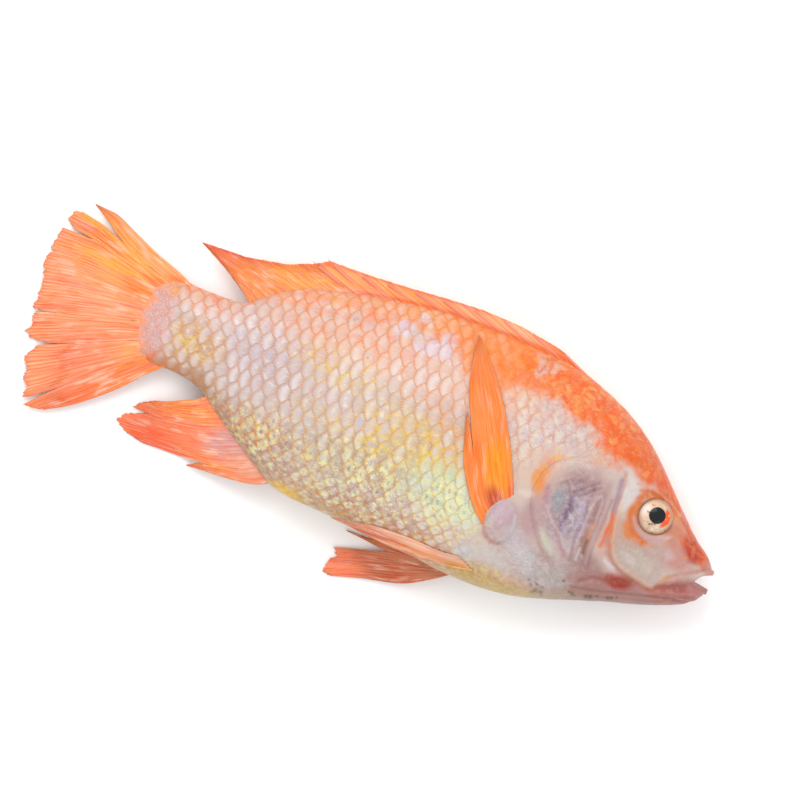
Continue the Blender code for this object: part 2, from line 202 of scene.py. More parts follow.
def nearest_on(x: Array, y: Array, path: Points) -> tuple[Array, Array, Array]:
    """The nearest point of a broken line to each point of the side view.

    Args:
        x, y: Place in the side view.
        path: The line's points.

    Returns:
        The distance to the line's nearest point, and that point's x and y.
    """
    nearest = [np.full(np.shape(x), start) for start in (np.inf, 0.0, 0.0)]
    for (ax, ay), (bx, by) in zip(path, path[1:]):
        dx, dy = bx - ax, by - ay
        share = np.clip(((x - ax) * dx + (y - ay) * dy) / (dx * dx + dy * dy), 0, 1)
        away = np.hypot(x - ax - share * dx, y - ay - share * dy)
        found = (away, ax + share * dx, ay + share * dy)
        closer = away < nearest[0]
        nearest = [np.where(closer, new, old) for new, old in zip(found, nearest)]
    return tuple(nearest)


@dataclass(frozen=True)
class BodyForm:
    """The plain form of the body, the same as the solid's."""

    back: SmoothCurve = field(default_factory=lambda: SmoothCurve((
        (-109, 21.0), (-107, 26.0), (-104, 30.5), (-100, 32.8), (-95, 33.6), (-90, 33.2),
        (-80, 33.0), (-72, 33.4), (-67, 35.2), (-60, 41.5), (-50, 47.2), (-40, 50.8),
        (-30, 53.5), (-15, 56.5), (0, 58.7), (15, 59.9), (35, 60.0), (50, 59.6), (60, 59.0),
        (70, 57.3), (80, 54.2), (90, 50.2), (100, 44.8), (110, 37.6), (120, 28.0), (130, 18.0),
        (140, 8.8), (147, 3.6), (151.5, -3.0),
    )))
    belly: SmoothCurve = field(default_factory=lambda: SmoothCurve((
        (-109, 13.0), (-107, 6.5), (-104, 1.5), (-100, -2.2), (-95, -3.6), (-90, -2.9),
        (-80, -4.0), (-72, -7.0), (-65, -12.0), (-50, -22.0), (-40, -28.3), (-33, -32.2),
        (-25, -34.2), (-10, -35.2), (10, -36.5), (30, -38.6), (45, -40.4), (60, -41.0),
        (70, -40.4), (80, -38.6), (90, -35.6), (100, -32.4), (110, -29.0), (120, -26.1),
        (130, -23.0), (140, -19.2), (147, -15.0), (151.5, -8.0),
    )))
    half_width: SmoothCurve = field(default_factory=lambda: SmoothCurve((
        (-109, 0.6), (-106, 1.8), (-102, 3.6), (-97, 5.4), (-90, 7.0), (-80, 8.4), (-70, 9.9),
        (-50, 13.2), (-30, 16.5), (-10, 19.2), (10, 21.2), (30, 22.3), (50, 22.8), (70, 22.8),
        (85, 22.2), (100, 20.6), (110, 18.9), (120, 16.8), (130, 14.2), (138, 11.5),
        (145, 8.4), (149, 6.0), (151.5, 3.2),
    )))
    middle_height: SmoothCurve = field(default_factory=lambda: SmoothCurve((
        (-150, 1.6), (-125, 3.2), (-109, 5.2), (-100, 6.6), (-90, 8.2), (-70, 10.8),
        (-50, 13.6), (-30, 16.6), (-10, 19.0), (10, 20.5), (30, 21.3), (60, 21.6), (90, 21.8),
        (110, 21.4), (125, 20.6), (140, 19.6), (151.5, 19.0),
    )))
    back_fullness: float = 1.12
    belly_fullness: float = 0.90
    gill_cover_edge: Points = (
        (90, 60), (86, 25.5), (79, 22.5), (73, 18), (69.5, 12), (68.5, 5), (70, -2), (73, -8),
        (78, -15), (85, -22), (95, -30), (110, -60),
    )
    cheek_edge: Points = (
        (104, 60), (103, 21), (103.5, 10), (104.5, 0), (106.5, -8), (111, -12.5), (119, -15.2),
        (128, -16.8), (150, -60),
    )
    eye_centre: tuple[float, float] = (119.3, 11.8)
    eye_radius: float = 7.6
    eye_flatness: float = 0.62
    eye_stands_out: float = 0.8
    cover_rise: float = 1.5

    def midline(self, x: Array) -> Array:
        """Half way between the belly's and the back's line."""
        return (self.back(x) + self.belly(x)) / 2

    def half_depth(self, x: Array) -> Array:
        """Half the distance between the belly's and the back's line."""
        return (self.back(x) - self.belly(x)) / 2

    def around(self, x: Array, turn: Array) -> Array:
        """Side view height at a turn round the body, which is 0 at the back."""
        return self.midline(x) + self.half_depth(x) * np.cos(turn)

    @staticmethod
    def edge_at(y: Array, edge: Points) -> Array:
        """The x, at each height, of an edge that runs down the side view."""
        edge_y, edge_x = np.array(sorted((b, a) for a, b in edge), float).T
        return np.interp(y, edge_y, edge_x)

    @staticmethod
    def swelling(
        x: Array, y: Array, centre: tuple[float, float], radii: tuple[float, float]
    ) -> Array:
        """A round swelling of height 1, which reaches out from its centre by its two radii."""
        return ease(1 - np.hypot((x - centre[0]) / radii[0], (y - centre[1]) / radii[1]))

    @staticmethod
    def behind(x: Array, y: Array, edge: Points, width: float) -> Array:
        """1 on the tail's side of an edge and 0 on the snout's, with a soft step of some width."""
        return ease((BodyForm.edge_at(y, edge) - x) / width + 0.5)

    def gill_cover(self, x: Array, y: Array, flap: Array | float = 0.0) -> Array:
        """How far the gill cover stands out: flap is 1 where it does so right to its edge."""
        soft = 1 - self.behind(x, y, self.gill_cover_edge, 3.0)
        return self.cover_rise * np.maximum(soft, flap) * ease((116 - x) / 20)

    def relief(self, x: Array, y: Array, gill_cover: Array) -> Array:
        """How far the skin stands out from the plain oval sections.

        Args:
            x, y: Place in the side view.
            gill_cover: What the gill cover adds at each point.

        Returns:
            The height over the plain form.
        """
        cheek = 0.9 * (1 - self.behind(x, y, self.cheek_edge, 3.0)) * ease((146 - x) / 12)
        groove = -1.5 * np.exp(-(((x - 98.0 - 0.08 * y) / 2.6) ** 2)) * ease((26 - abs(y)) / 10)
        hollow = -2.6 * self.swelling(x, y, (84, 3), (13, 20))
        eye_ring = 1.6 * self.swelling(x, y, self.eye_centre, (13, 13))
        fin_pad = 3.0 * self.swelling(x, y, (60.5, -11.5), (8.5, 12.5))
        jaw_line = -np.exp(-(((y + 11.5 - 0.3 * (x - 138)) / 1.8) ** 2)) * ease((x - 128) / 6)
        return gill_cover + cheek + groove + hollow + eye_ring + fin_pad + jaw_line

    def bulge(self, x: Array, y: Array) -> Array:
        """The section's width at a height, as a share of its greatest."""
        share = np.clip((y - self.midline(x)) / self.half_depth(x), -1, 1)
        fullness = self.belly_fullness + (self.back_fullness - self.belly_fullness) * (1 + share) / 2
        return (1 - share**2) ** (fullness / 2)

    def height(
        self, x: Array, y: Array, side: Array | int, gill_cover: Array | None = None
    ) -> Array:
        """Height of the skin over the floor.

        Args:
            x, y: Place in the side view.
            side: 1 for the upper flank, -1 for the lower one.
            gill_cover: What the gill cover adds, where it isn't the solid's.

        Returns:
            The height at each point, never under the floor.
        """
        cover = self.gill_cover(x, y) if gill_cover is None else gill_cover
        bulge = self.bulge(x, y)
        out = self.half_width(x) * bulge + self.relief(x, y, cover) * bulge
        return np.maximum(self.middle_height(x) + side * out, FLOOR_GAP)


FORM = BodyForm()


@dataclass(frozen=True)
class Mark:
    """A line on the skin: a crease or ridge, with or without a tint; on the creases a darker tint is partly
    the skin's colour and partly painted shade.

    Args:
        path: The line in the side view.
        width: Half its width.
        lift: How far it stands out, or with a minus sign how deep it is.
        tint: Its colour.
        strength: Share of its own colour at its middle.
    """

    path: Points
    width: float
    lift: float = 0.0
    tint: Colour | None = None
    strength: float = 0.0

    def profile(self, x: Array, y: Array) -> Array:
        """1 along the line, falling off to either side."""
        return np.exp(-((nearest_on(x, y, self.path)[0] / self.width) ** 2))


@dataclass(frozen=True)
class Patch:
    """A soft oval patch of colour on the skin.

    Args:
        centre: Its middle in the side view.
        radii: Its reach along and across.
        tint: Its colour.
        strength: Share of its own colour at its middle.
        turn: Its turn in degrees.
        soft: Share of its radius over which it fades.
    """

    centre: tuple[float, float]
    radii: tuple[float, float]
    tint: Colour
    strength: float = 0.8
    turn: float = 0.0
    soft: float = 0.7

    def profile(self, x: Array, y: Array) -> Array:
        """1 in the patch's middle and 0 past its edge."""
        a = math.radians(self.turn)
        dx, dy = x - self.centre[0], y - self.centre[1]
        along, across = dx * math.cos(a) + dy * math.sin(a), dy * math.cos(a) - dx * math.sin(a)
        return ease((1 - np.hypot(along / self.radii[0], across / self.radii[1])) / self.soft)


@dataclass(frozen=True)
class SkinColours:
    """The colours of the skin, laid over each other in order."""

    flank: Colour = (222, 199, 190)
    # Shares of red above 255 on the back and nape paint them lighter than their own colour: painted light
    # against the shade on those slopes.
    back_stations: Stations = (
        (-109, (240, 150, 104)), (-80, (244, 188, 160)), (-40, (252, 182, 146)),
        (8, (256, 168, 94)), (26, (262, 148, 46)), (42, (264, 138, 14)), (65, (266, 120, 0)),
        (90, (262, 108, 0)),
        (105, (246, 102, 22)), (118, (236, 88, 18)), (130, (220, 86, 36)), (140, (206, 88, 60)),
        (150, (204, 132, 120)),
    )
    gold_zones: Points = (
        (-22, 22, 32, 15, 1.5), (-82, 12, 18, 14, 1.4), (12, 2, 60, 26, 1.3), (-34, -16, 44, 18, 0.8),
        (40, -20, 34, 16, 0.8), (-5, -30, 60, 8, 0.5), (68, -37, 30, 7, 0.9), (57, 12, 8, 14, 0.4),
        (-38, 50, 14, 7, 0.5),
    )
    lilac_zones: Points = (
        (-62, 20, 34, 20, 0.8), (2, 47, 28, 11, 1), (62, 27, 32, 24, 1), (-34, -4, 40, 18, 0.7),
        (86, 0, 20, 30, 1), (-100, 14, 12, 26, 0.8), (60, -12, 12, 15, 1), (-10, 8, 26, 14, 0.8),
        (74, -24, 18, 9, 1),
    )
    warm_zones: Points = (
        (-84, 31, 26, 8, 0.7), (-98, -3, 16, 9, 1), (-98, 31, 16, 9, 1), (-24, 40, 70, 16, 0.6),
        (-50, -14, 36, 14, 0.4), (119, 11, 15, 15, 0.8), (104, -2, 6, 14, 0.8), (72, 14, 8, 14, 0.8),
        (30, 20, 40, 20, 0.3), (136, 6, 16, 12, 0.7), (72, -34, 24, 5, 0.25), (91, 27, 14, 8, 0.4),
    )
    # The sparkle zones carry painted highlights, the bright white dots, along with the skin's yellow shimmer,
    # dark pores and a faint stain.
    sparkle_zones: Points = (
        (8, -19, 66, 28, 1.3), (-44, -16, 50, 20, 1.1), (62, 26, 36, 26, 0.4), (60, -34, 26, 8, 0.5),
        (36, -13, 23, 17, 1.6),
    )
    mottle_zones: Points = (
        (86, 2, 18, 30, 1), (80, 44, 60, 30, 0.9), (116, 22, 30, 14, 0.6), (104, -20, 26, 12, 0.3),
        (118, -6, 24, 16, 0.5), (140, 0, 16, 16, 0.4), (66, -20, 16, 16, 0.6), (80, -26, 30, 14, 0.7),
        (140, -15, 22, 7, 0.4), (91, 27, 14, 9, 0.6),
    )
    small_zones: Points = (
        (80, -26, 30, 16, 0.8), (56, -36, 34, 9, 0.7), (60, 22, 26, 22, 0.35), (90, 27, 18, 10, 1),
    )
    back_edge: SmoothCurve = field(default_factory=lambda: SmoothCurve((
        (-109, 30), (-90, 31), (-70, 33), (-60, 40), (-40, 42), (0, 46), (22, 43.5), (40, 41), (60, 41),
        (80, 35), (95, 29), (110, 24.5), (120, 22), (130, 14), (140, 4), (150, -2),
    )))
    belly_stations: Stations = (
        (-109, (222, 140, 100)), (-80, (198, 146, 106)), (-50, (184, 148, 116)),
        (0, (208, 164, 120)), (50, (204, 166, 114)), (75, (196, 172, 134)), (90, (186, 166, 138)),
        (105, (164, 130, 116)), (125, (168, 130, 122)), (151, (178, 122, 114)),
    )
    under_back: tuple[Patch, ...] = (
        Patch((0, 34), (84, 15), (242, 200, 178), 0.85),
        Patch((-44, 30), (30, 12), (234, 186, 170), 0.7),
        Patch((-50, 13), (36, 18), (214, 190, 188), 0.85),
        Patch((8, 2), (62, 24), (224, 199, 152), 0.9),
        Patch((-14, 10), (26, 11), (222, 200, 206), 0.6),
        Patch((-10, -12), (46, 16), (199, 176, 154), 0.8),
        Patch((36, -9), (30, 15), (214, 236, 202), 0.95),
        Patch((42, -18), (22, 8), (226, 230, 206), 0.7),
        Patch((-44, -17), (36, 13), (190, 155, 142), 0.85, -30),
        Patch((0, -28), (50, 8), (198, 154, 128), 0.8),
        Patch((-82, 13), (18, 13), (220, 168, 130), 0.85),
        Patch((-80, 28), (20, 8), (240, 194, 176), 0.75),
        Patch((-102, 14), (10, 26), (238, 184, 176), 0.95),
        Patch((60, 28), (28, 20), (230, 196, 190), 0.9),
        Patch((45, 38), (24, 10), (246, 190, 156), 0.8, -8),
        Patch((62, 14), (12, 16), (234, 202, 182), 0.7),
        Patch((-26, -32.4), (13, 4.4), (244, 192, 52), 0.95),
        Patch((22, -31.4), (36, 4), (210, 144, 108), 0.9),
        Patch((52, -29.6), (8, 5), (208, 208, 212), 0.8),
        Patch((42, -12), (16, 11), (224, 244, 210), 0.8),
        Patch((52, -37), (14, 4), (204, 156, 50), 0.8, -3),
        Patch((66, -38), (24, 4.5), (204, 178, 116), 0.6),
    )
    over_back: tuple[Patch, ...] = (
        Patch((84, -24), (28, 12), (192, 174, 170), 0.95),
        Patch((73, -22), (15, 7), (212, 212, 218), 0.85, -30),
        Patch((62, -27), (12, 6), (216, 210, 208), 0.75, -10),
        Patch((88, -27), (14, 5), (194, 190, 188), 0.7, 10),
        Patch((60.5, -12), (10, 13), (206, 174, 184), 0.95),
        Patch((73, -4), (9, 22), (200, 164, 162), 0.95, -12),
        Patch((70.5, 11), (4.5, 13), (226, 168, 140), 0.9),
        Patch((69.6, 10.4), (3, 8), (246, 160, 70), 0.9, 0, 0.5),
        Patch((74, 20.4), (4, 1.6), (246, 176, 84), 0.8, 40),
        # A painted wet highlight near the pectoral fin's root.
        Patch((66.4, 2.4), (3.4, 2.2), (238, 214, 200), 0.8),
        Patch((69, -16), (6, 6), (206, 194, 198), 0.7),
        Patch((89, 14), (17, 13), (196, 162, 158), 0.95),
        Patch((86, -1), (12, 18), (172, 152, 160), 0.95, 8),
        Patch((81, 4.6), (5, 9), (164, 164, 168), 0.8),
        Patch((90.4, 0), (3.4, 9), (196, 180, 194), 0.7),
        Patch((87, 13.6), (8, 5), (172, 138, 142), 0.6, 30),
        Patch((82, -13.4), (8, 2.6), (212, 212, 184), 0.85, -44),
        Patch((95.8, 2), (2, 12), (184, 146, 144), 0.8),
        Patch((97.5, -3), (5.5, 26), (180, 138, 134), 0.95),
        Patch((100, -18), (11, 10), (172, 132, 126), 0.85),
        Patch((105.8, 18), (5.6, 13), (230, 220, 216), 0.95),
        Patch((117, -4), (22, 16), (202, 172, 162), 0.95, -8),
        Patch((119, -8), (15, 8), (204, 184, 170), 0.85, -12),
        Patch((112, 4), (12, 9), (210, 170, 150), 0.6),
        Patch((128, 8), (8, 9), (218, 132, 98), 0.8, -40),
        Patch((134, 0), (13, 9), (208, 150, 138), 0.85, -25),
        Patch((140, 4.2), (11, 5), (196, 60, 28), 0.95, -36),
        Patch((130, -1.4), (4.5, 3.4), (214, 186, 192), 0.8),
        Patch((148, 0), (5, 4), (202, 140, 128), 0.8),
        Patch((113, -20), (24, 7), (186, 132, 128), 0.95, 12),
        Patch((114, -18), (10, 3.6), (176, 50, 20), 0.95, 4),
        Patch((104, -27), (14, 4), (178, 132, 118), 0.8, 16),
        Patch((140, -14), (16, 7), (184, 102, 92), 0.95, 22),
        Patch((133, -13.6), (9, 2.6), (188, 94, 80), 0.8, 20),
        Patch((126, -21), (18, 2), (192, 138, 130), 0.7, 14),
        Patch((146, -11), (5, 3), (200, 138, 136), 0.7, 30),
        # A painted wet highlight below the cheek ridge.
        Patch((108.4, -13), (4, 2), (226, 206, 208), 0.8, -35),
        Patch((119, 25), (15, 5), (240, 92, 26), 0.9, -38),
        Patch((106, 31), (6, 4), (236, 116, 52), 0.8, -38),
        Patch((133, 16), (12, 3.5), (238, 96, 36), 0.8, -44),
        Patch((110.6, 10), (4, 12), (232, 146, 82), 0.9),
        Patch((114, 2.6), (9, 3.2), (230, 142, 84), 0.9, -24),
        Patch((116, 20), (9, 3.4), (240, 128, 54), 0.85),
        Patch((127.5, 15.5), (3, 5), (240, 150, 78), 0.8, 30),
        Patch((124, 4.6), (6, 2), (224, 196, 192), 0.8, 25),
        Patch((53.6, 53), (2.8, 6.4), (238, 204, 200), 0.95, 14, 0.4),
        Patch((51.4, 56), (3.2, 1.8), (236, 190, 178), 0.9, -30, 0.5),
        Patch((58.4, 54.8), (1.8, 3.6), (242, 202, 186), 0.95, -10, 0.4),
        Patch((60.6, 57), (2.4, 1.2), (240, 196, 180), 0.85, -10, 0.5),
        Patch((-3.3, 48), (4.4, 3.8), (232, 214, 220), 0.95, 20, 0.4),
        Patch((1, 53.6), (3.2, 2.4), (234, 214, 216), 0.9, 20, 0.4),
        Patch((5.7, 52.6), (2.6, 2.4), (236, 216, 214), 0.8, 0, 0.4),
        Patch((8, 42.6), (7.5, 4), (230, 212, 224), 0.9, 10, 0.4),
        Patch((15.6, 46.4), (4.2, 6.4), (232, 214, 224), 0.95, -10, 0.4),
        Patch((-39, 44), (5, 5), (240, 204, 192), 0.8),
    )
    marks: tuple[Mark, ...] = (
        # Creases, with a minus lift, mostly carry darker tints: partly the skin's colour, partly painted
        # shade in the grooves.
        Mark(((102.8, 24), (102.8, 10), (103.8, 2), (105.3, -4), (107.3, -9), (110, -12.2),
              (114, -14.2), (119, -15.6), (125, -17), (131, -17.4)), 1.1, -0.55, (206, 120, 92), 0.55),
        Mark(((104.4, 12), (105.4, 2), (107, -4), (109, -8.6), (111.6, -11.4), (116, -13),
              (122, -14.4), (129, -15.6)), 0.8, 0.35, (232, 190, 150), 0.5),
        Mark(((102.9, 6.9), (103.5, 3), (102.8, -0.3), (103.4, -3.6), (103, -7.4)),
             0.7, 0.1, (238, 108, 54), 0.8),
        Mark(((104.2, 3), (104.8, -3)), 0.5, 0.1, (240, 128, 66), 0.7),
        Mark(((93.2, -10), (93.5, 4), (94.6, 9.7), (96.1, 12), (97.6, 10.4), (97.7, -2), (96.6, -14)),
             0.6, 0.4, (208, 184, 186), 0.65),
        Mark(((92.2, 14), (92, 3), (91.8, -8), (93, -17)), 0.7, -0.5, (152, 116, 128), 0.6),
        Mark(((97.1, 0), (97.3, -4), (97.2, -8)), 0.6, 0.1, (224, 142, 76), 0.9),
        Mark(((97.2, -7), (96.9, -12.4)), 0.7, 0.1, (148, 90, 56), 0.9),
        Mark(((99.4, 14), (99.2, 0), (99, -16)), 0.6, 0.3, (206, 174, 172), 0.6),
        Mark(((100.8, 12), (100.6, -2), (100.4, -18)), 0.6, -0.4, (168, 126, 124), 0.5),
        Mark(((101.6, 21), (102.2, 14), (102.6, 8)), 1.1, -0.3, (172, 146, 162), 0.8),
        Mark(((85.3, 7), (85.6, 2.6), (84.8, -3), (84.8, -7.4)), 0.9, -0.6, (134, 100, 134), 0.8),
        Mark(((85, 10), (89, 13), (93, 16.6)), 0.7, -0.3, (146, 112, 124), 0.6),
        Mark(((87.6, 8.6), (90.6, 12), (94.6, 15)), 0.6, -0.3, (142, 108, 122), 0.6),
        Mark(((79, 11), (82, 13.6), (86, 14.6)), 0.7, -0.3, (150, 122, 128), 0.5),
        Mark(((74.4, 8), (74.8, 3.3), (78.3, -1.7), (82.6, -6.7), (86.9, -11.7), (90.4, -16.4)),
             1.1, -0.5, (198, 150, 158), 0.85),
        Mark(((76.1, 0.4), (79.7, -3.6), (85.4, -8.7), (89, -13.3)), 0.7, 0.4, (214, 202, 192), 0.6),
        Mark(((70, -2), (74, -9), (79.6, -15.4), (86, -21.6)), 1.3, -0.35, (204, 164, 164), 0.6),
        Mark(((80, 22.4), (75, 20.4), (71.4, 17), (69, 12), (68.2, 6)), 0.9, 0.2, (240, 176, 124), 0.6),
        Mark(((108, 22.4), (112, 22.6), (118, 21.4), (124, 19.4), (129, 16)), 0.6, 0.5, (238, 184, 166), 0.9),
        Mark(((110, 20), (114, 20.6), (120, 19.6)), 0.7, -0.3, (236, 132, 66), 0.6),
        Mark(((130, 15), (137, 9), (141, 5.2), (147, 3)), 0.9, -0.3, (206, 66, 44), 0.6),
        Mark(((146.6, -1.4), (143, -3.6), (138, -6.6), (133, -10)), 0.9, -0.4, (206, 134, 118), 0.6),
        Mark(((133.6, -9), (131.6, -12.4)), 0.8, 0.2, (230, 160, 92), 0.8),
        Mark(((140, -5.6), (137, -8.4), (134.6, -12)), 0.9, 0.3, (222, 168, 156), 0.6),
        Mark(((141, -10.6), (135, -13), (130, -15.6)), 0.8, -0.55, (176, 108, 100), 0.6),
        Mark(((148, -15.5), (136, -17.4), (124, -20.6), (110, -24.4), (98, -27)),
             0.7, -0.45, (156, 104, 96), 0.6),
        Mark(((150, -11.6), (144, -13), (136, -15.8), (126, -18.6)), 0.7, 0.35, (204, 142, 132), 0.5),
        Mark(((54.8, -15), (56.6, -19), (60, -21.6), (64.4, -21)), 0.8, -0.3, (204, 136, 126), 0.75),
        Mark(((120, -16.8), (112, -19), (104, -20.4), (99, -24)), 0.8, -0.3, (160, 96, 84), 0.6),
        Mark(((134, -19.6), (118, -24), (104, -28.2)), 0.6, -0.35, (166, 124, 114), 0.4),
        Mark(((127, 17.5), (124.5, 20), (120, 21.2), (115, 20.4), (111, 17), (109.6, 12), (110.6, 7),
              (113.5, 3), (118, 0.6)), 1.7, 0.0, (224, 114, 52), 0.75),
        Mark(((111.4, 8.5), (113.4, 5.4), (116.4, 3.2), (120.5, 2.6), (125, 4)),
             1.0, 0.15, (208, 174, 178), 0.85),
        Mark(((56.4, 57.6), (55.2, 54.6), (54, 50.6)), 0.55, -0.5, (236, 92, 46), 0.95),
        Mark(((51.6, 57), (54.6, 56.2), (56.4, 57.2)), 0.5, -0.4, (238, 110, 64), 0.8),
        Mark(((57, 57.4), (58.4, 54.6), (57.2, 52.4)), 0.5, -0.5, (240, 108, 60), 0.9),
        Mark(((58.6, 57.2), (61.6, 57)), 0.5, -0.4, (238, 100, 54), 0.8),
        Mark(((31, 7.8), (34, 9)), 0.8, 0.0, (240, 138, 92), 0.7),
        # These pale strokes, each raised a little, are painted wet highlights.
        Mark(((106.6, -12.4), (110.6, -13.6)), 0.7, 0.2, (236, 222, 222), 0.7),
        Mark(((112, -7), (116, -8.6), (120, -8.2), (125, -10)), 1.6, 0.15, (218, 206, 198), 0.5),
        Mark(((65.6, -8), (66.6, -13), (65.8, -17)), 0.5, 0.2, (236, 230, 238), 0.7),
        Mark(((69.6, -18), (72.6, -23)), 1.1, 0.2, (222, 214, 220), 0.5),
        Mark(((80, 20.6), (88, 21.8)), 1.0, 0.2, (228, 208, 204), 0.5),
        Mark(((95, -16), (95.4, -11)), 0.5, 0.2, (234, 222, 224), 0.7),
        Mark(((64.4, 2), (68.4, 2.8)), 1.1, 0.2, (236, 218, 204), 0.6),
    )
    speck_tint: Colour = (80, 70, 60)
    fin_root_tint: Colour = (254, 158, 114)
    specks: Points = (
        (84.5, -33.6, 0.9), (86.8, -33.6, 0.8), (82, -32.6, 0.6), (84, -31.2, 0.6), (80.4, -30.4, 0.6),
        (81.6, -32, 0.5), (83.4, -35, 0.6), (87.4, -35, 0.4), (79, -29.6, 0.4), (86.6, -31.6, 0.5),
        (93.8, -26, 0.6), (99, -29.6, 0.7), (100.2, -30, 0.5), (97.6, -29.4, 0.5), (104.8, -28.8, 0.7),
        (106.4, -28.2, 0.9), (109, -27, 0.5), (113.4, -26.2, 0.7), (114.8, -25.6, 0.6), (116.8, -24.6, 0.4),
        (-24, 44.4, 0.45), (-24.4, 43.4, 0.35), (-13.8, 31, 0.32), (-100, -8, 0.5),
    )

    def stations(self, rows: Stations, x: Array) -> Array:
        """Linear colours along the fish, blended between stations."""
        places = [row[0] for row in rows]
        tints = np.array([linear(row[1]) for row in rows])
        return np.stack([np.interp(x, places, tints[:, i]) for i in range(3)], axis=-1)

    def tone(self, x: Array, y: Array) -> Array:
        """The skin's colour before its scales.

        Args:
            x, y: Place in the side view.

        Returns:
            Linear colours, one row for each point.
        """
        wander = 2.0 * Ripple(11, 9)(x, y) + 1.1 * Ripple(12, 3.5)(x, y)
        u, v = x + wander, y + 1.6 * Ripple(13, 8)(x, y) + 0.6 * Ripple(14, 3)(x, y)
        tone = np.broadcast_to(linear(self.flank), (*np.shape(x), 3)).copy()

        def lay(colour: Array, share: Array) -> None:
            """Lays a colour over the tone so far."""
            tone[...] = laid_over(tone, colour, share)

        low = self.stations(self.belly_stations, x)
        lay(low, ease((FORM.belly(x) + 13 - v) / 11))
        for patch in self.under_back:
            lay(linear(patch.tint), patch.strength * patch.profile(u, v))
        lay(self.stations(self.back_stations, x), self.back_share(x, v))
        for patch in self.over_back:
            lay(linear(patch.tint), patch.strength * patch.profile(u, v))
        for mark in self.marks:
            if mark.tint:
                lay(linear(mark.tint), mark.strength * mark.profile(x + 0.3 * wander, y))
        for sx, sy, size in self.specks:
            lay(linear(self.speck_tint), 0.85 * np.exp(-(np.hypot(x - sx, y - sy) / size) ** 2))
        lay(linear(self.fin_root_tint) * FIN_PAINT / PAINT, 1 - self.root_share(x, y))
        return tone * PAINT

    @staticmethod
    def root_share(x: Array, y: Array) -> Array:
        """1 on the body's side of the tail fin's root, whose edge runs out in streaks."""
        angle = np.arctan2(y - 14, -62 - x) * 40
        edge = -106 + 0.014 * (y - 13) ** 2 + 2.2 * Ripple(61, 1.3)(angle, 0 * y) + Ripple(62, 3)(x, y)
        return ease((x - edge) / 4 + 0.5)

    def back_share(self, x: Array, y: Array) -> Array:
        """How much the back's orange covers the skin, its lower edge broken into blotches."""
        y = y + 3.2 * Ripple(16, 6)(x, y) + 2.4 * Ripple(17, 2.6)(x, y)
        return ease((y - self.back_edge(x)) / 8 + 0.5) * (0.92 + 0.08 * Ripple(15, 5)(x, y))

    @staticmethod
    def zone(x: Array, y: Array, rows: Points) -> Array:
        """The strongest of some soft ovals, each given by its middle, radii and strength."""
        return np.max([s * FORM.swelling(x, y, (cx, cy), (rx, ry)) for cx, cy, rx, ry, s in rows], axis=0)

    def look(self, x: Array, y: Array) -> Array:
        """Where the skin is blotched with gold, lilac and orange."""
        back = (0.6 + 0.3 * ease((x - 25) / 40)) * self.back_share(x, y)
        warm = np.maximum(self.zone(x, y, self.warm_zones), back)
        parts = (self.zone(x, y, self.gold_zones), self.zone(x, y, self.lilac_zones), warm)
        return np.stack(parts, axis=1) * self.root_share(x, y)[:, None]

    def grain(self, x: Array, y: Array) -> Array:
        """Where the skin has small scales, sparkles of painted highlight and shimmer, and mottling."""
        root = ease((-94 - x) / 4)
        nape = 0.85 * ease((x - 30) / 30) * self.back_share(x, y) * ease((120 - x) / 12)
        small = np.maximum(np.maximum(root, nape), self.zone(x, y, self.small_zones))
        parts = (small, self.zone(x, y, self.sparkle_zones), self.zone(x, y, self.mottle_zones))
        return np.stack(parts, axis=1) * (0.25 + 0.75 * self.root_share(x, y)[:, None])

    def guides(self, x: Array, y: Array) -> Values:
        """The attributes that the skin's finish reads, but for the scales' own.

        Args:
            x, y: Place in the side view.

        Returns:
            The attributes by name.
        """
        return {
            "skin_tone": ("FLOAT_COLOR", self.tone(x, y)),
            "skin_look": ("FLOAT_VECTOR", self.look(x, y)),
            "skin_grain": ("FLOAT_VECTOR", self.grain(x, y)),
        }


@dataclass(frozen=True)
class ScaleRows:
    """The way the scales lie: rows along the fish, each a half step off the next."""

    pitch: float = 5.6
    arc_depth: float = 0.9
    arc_reach: float = 0.8
    relief: float = 0.2
    row_height: SmoothCurve = field(default_factory=lambda: SmoothCurve((
        (-109, 4.6), (-80, 5.3), (-60, 5.9), (-30, 6.5), (0, 6.7), (60, 6.4), (100, 5.0), (152, 4.0),
    )))
    first_row: float = 5.0

    def strength(self, x: Array, y: Array) -> Array:
        """How clearly the scales show: not at all on the head, softly on the nape and belly."""
        nape = 1 - 0.6 * ease((x - 10) / 40) * ease((y - 24) / 16)
        front = ((112, 60), (98, 42), (86, 30), (66, 24), (58, 8), (56, -4), (48, -24), (50, -60))
        head = FORM.behind(x, y, front, 16.0)
        tail = ease((x + 100) / 5)
        belly = 1 - 0.6 * ease((FORM.belly(x) + 8 - y) / 8)
        return nape * head * tail * belly * (0.86 + 0.14 * Ripple(21, 8)(x, y))

    def pattern(self, u: Array, v: Array) -> tuple[Array, Array]:
        """Where each point lies in its scale.

        Args:
            u: Place along the rows, in steps.
            v: Place across the rows, in rows.

        Returns:
            The share of a step from the scale's free edge, and how far off the row's middle.
        """
        found = []
        for k in (0, 1):
            row = np.floor(v) + k
            off = v - row
            arc = np.sqrt(np.maximum(0, 1 - (off / self.arc_reach) ** 2))
            place = u + self.arc_depth * arc - 0.5 * np.mod(row, 2)
            scale = np.floor(place)
            found.append((scale + 0.5 * np.mod(row, 2), place - scale, off))
        first = found[0][0] > found[1][0]
        return np.where(first, found[0][1], found[1][1]), np.where(first, found[0][2], found[1][2])


SCALES = ScaleRows()
COLOURS = SkinColours()


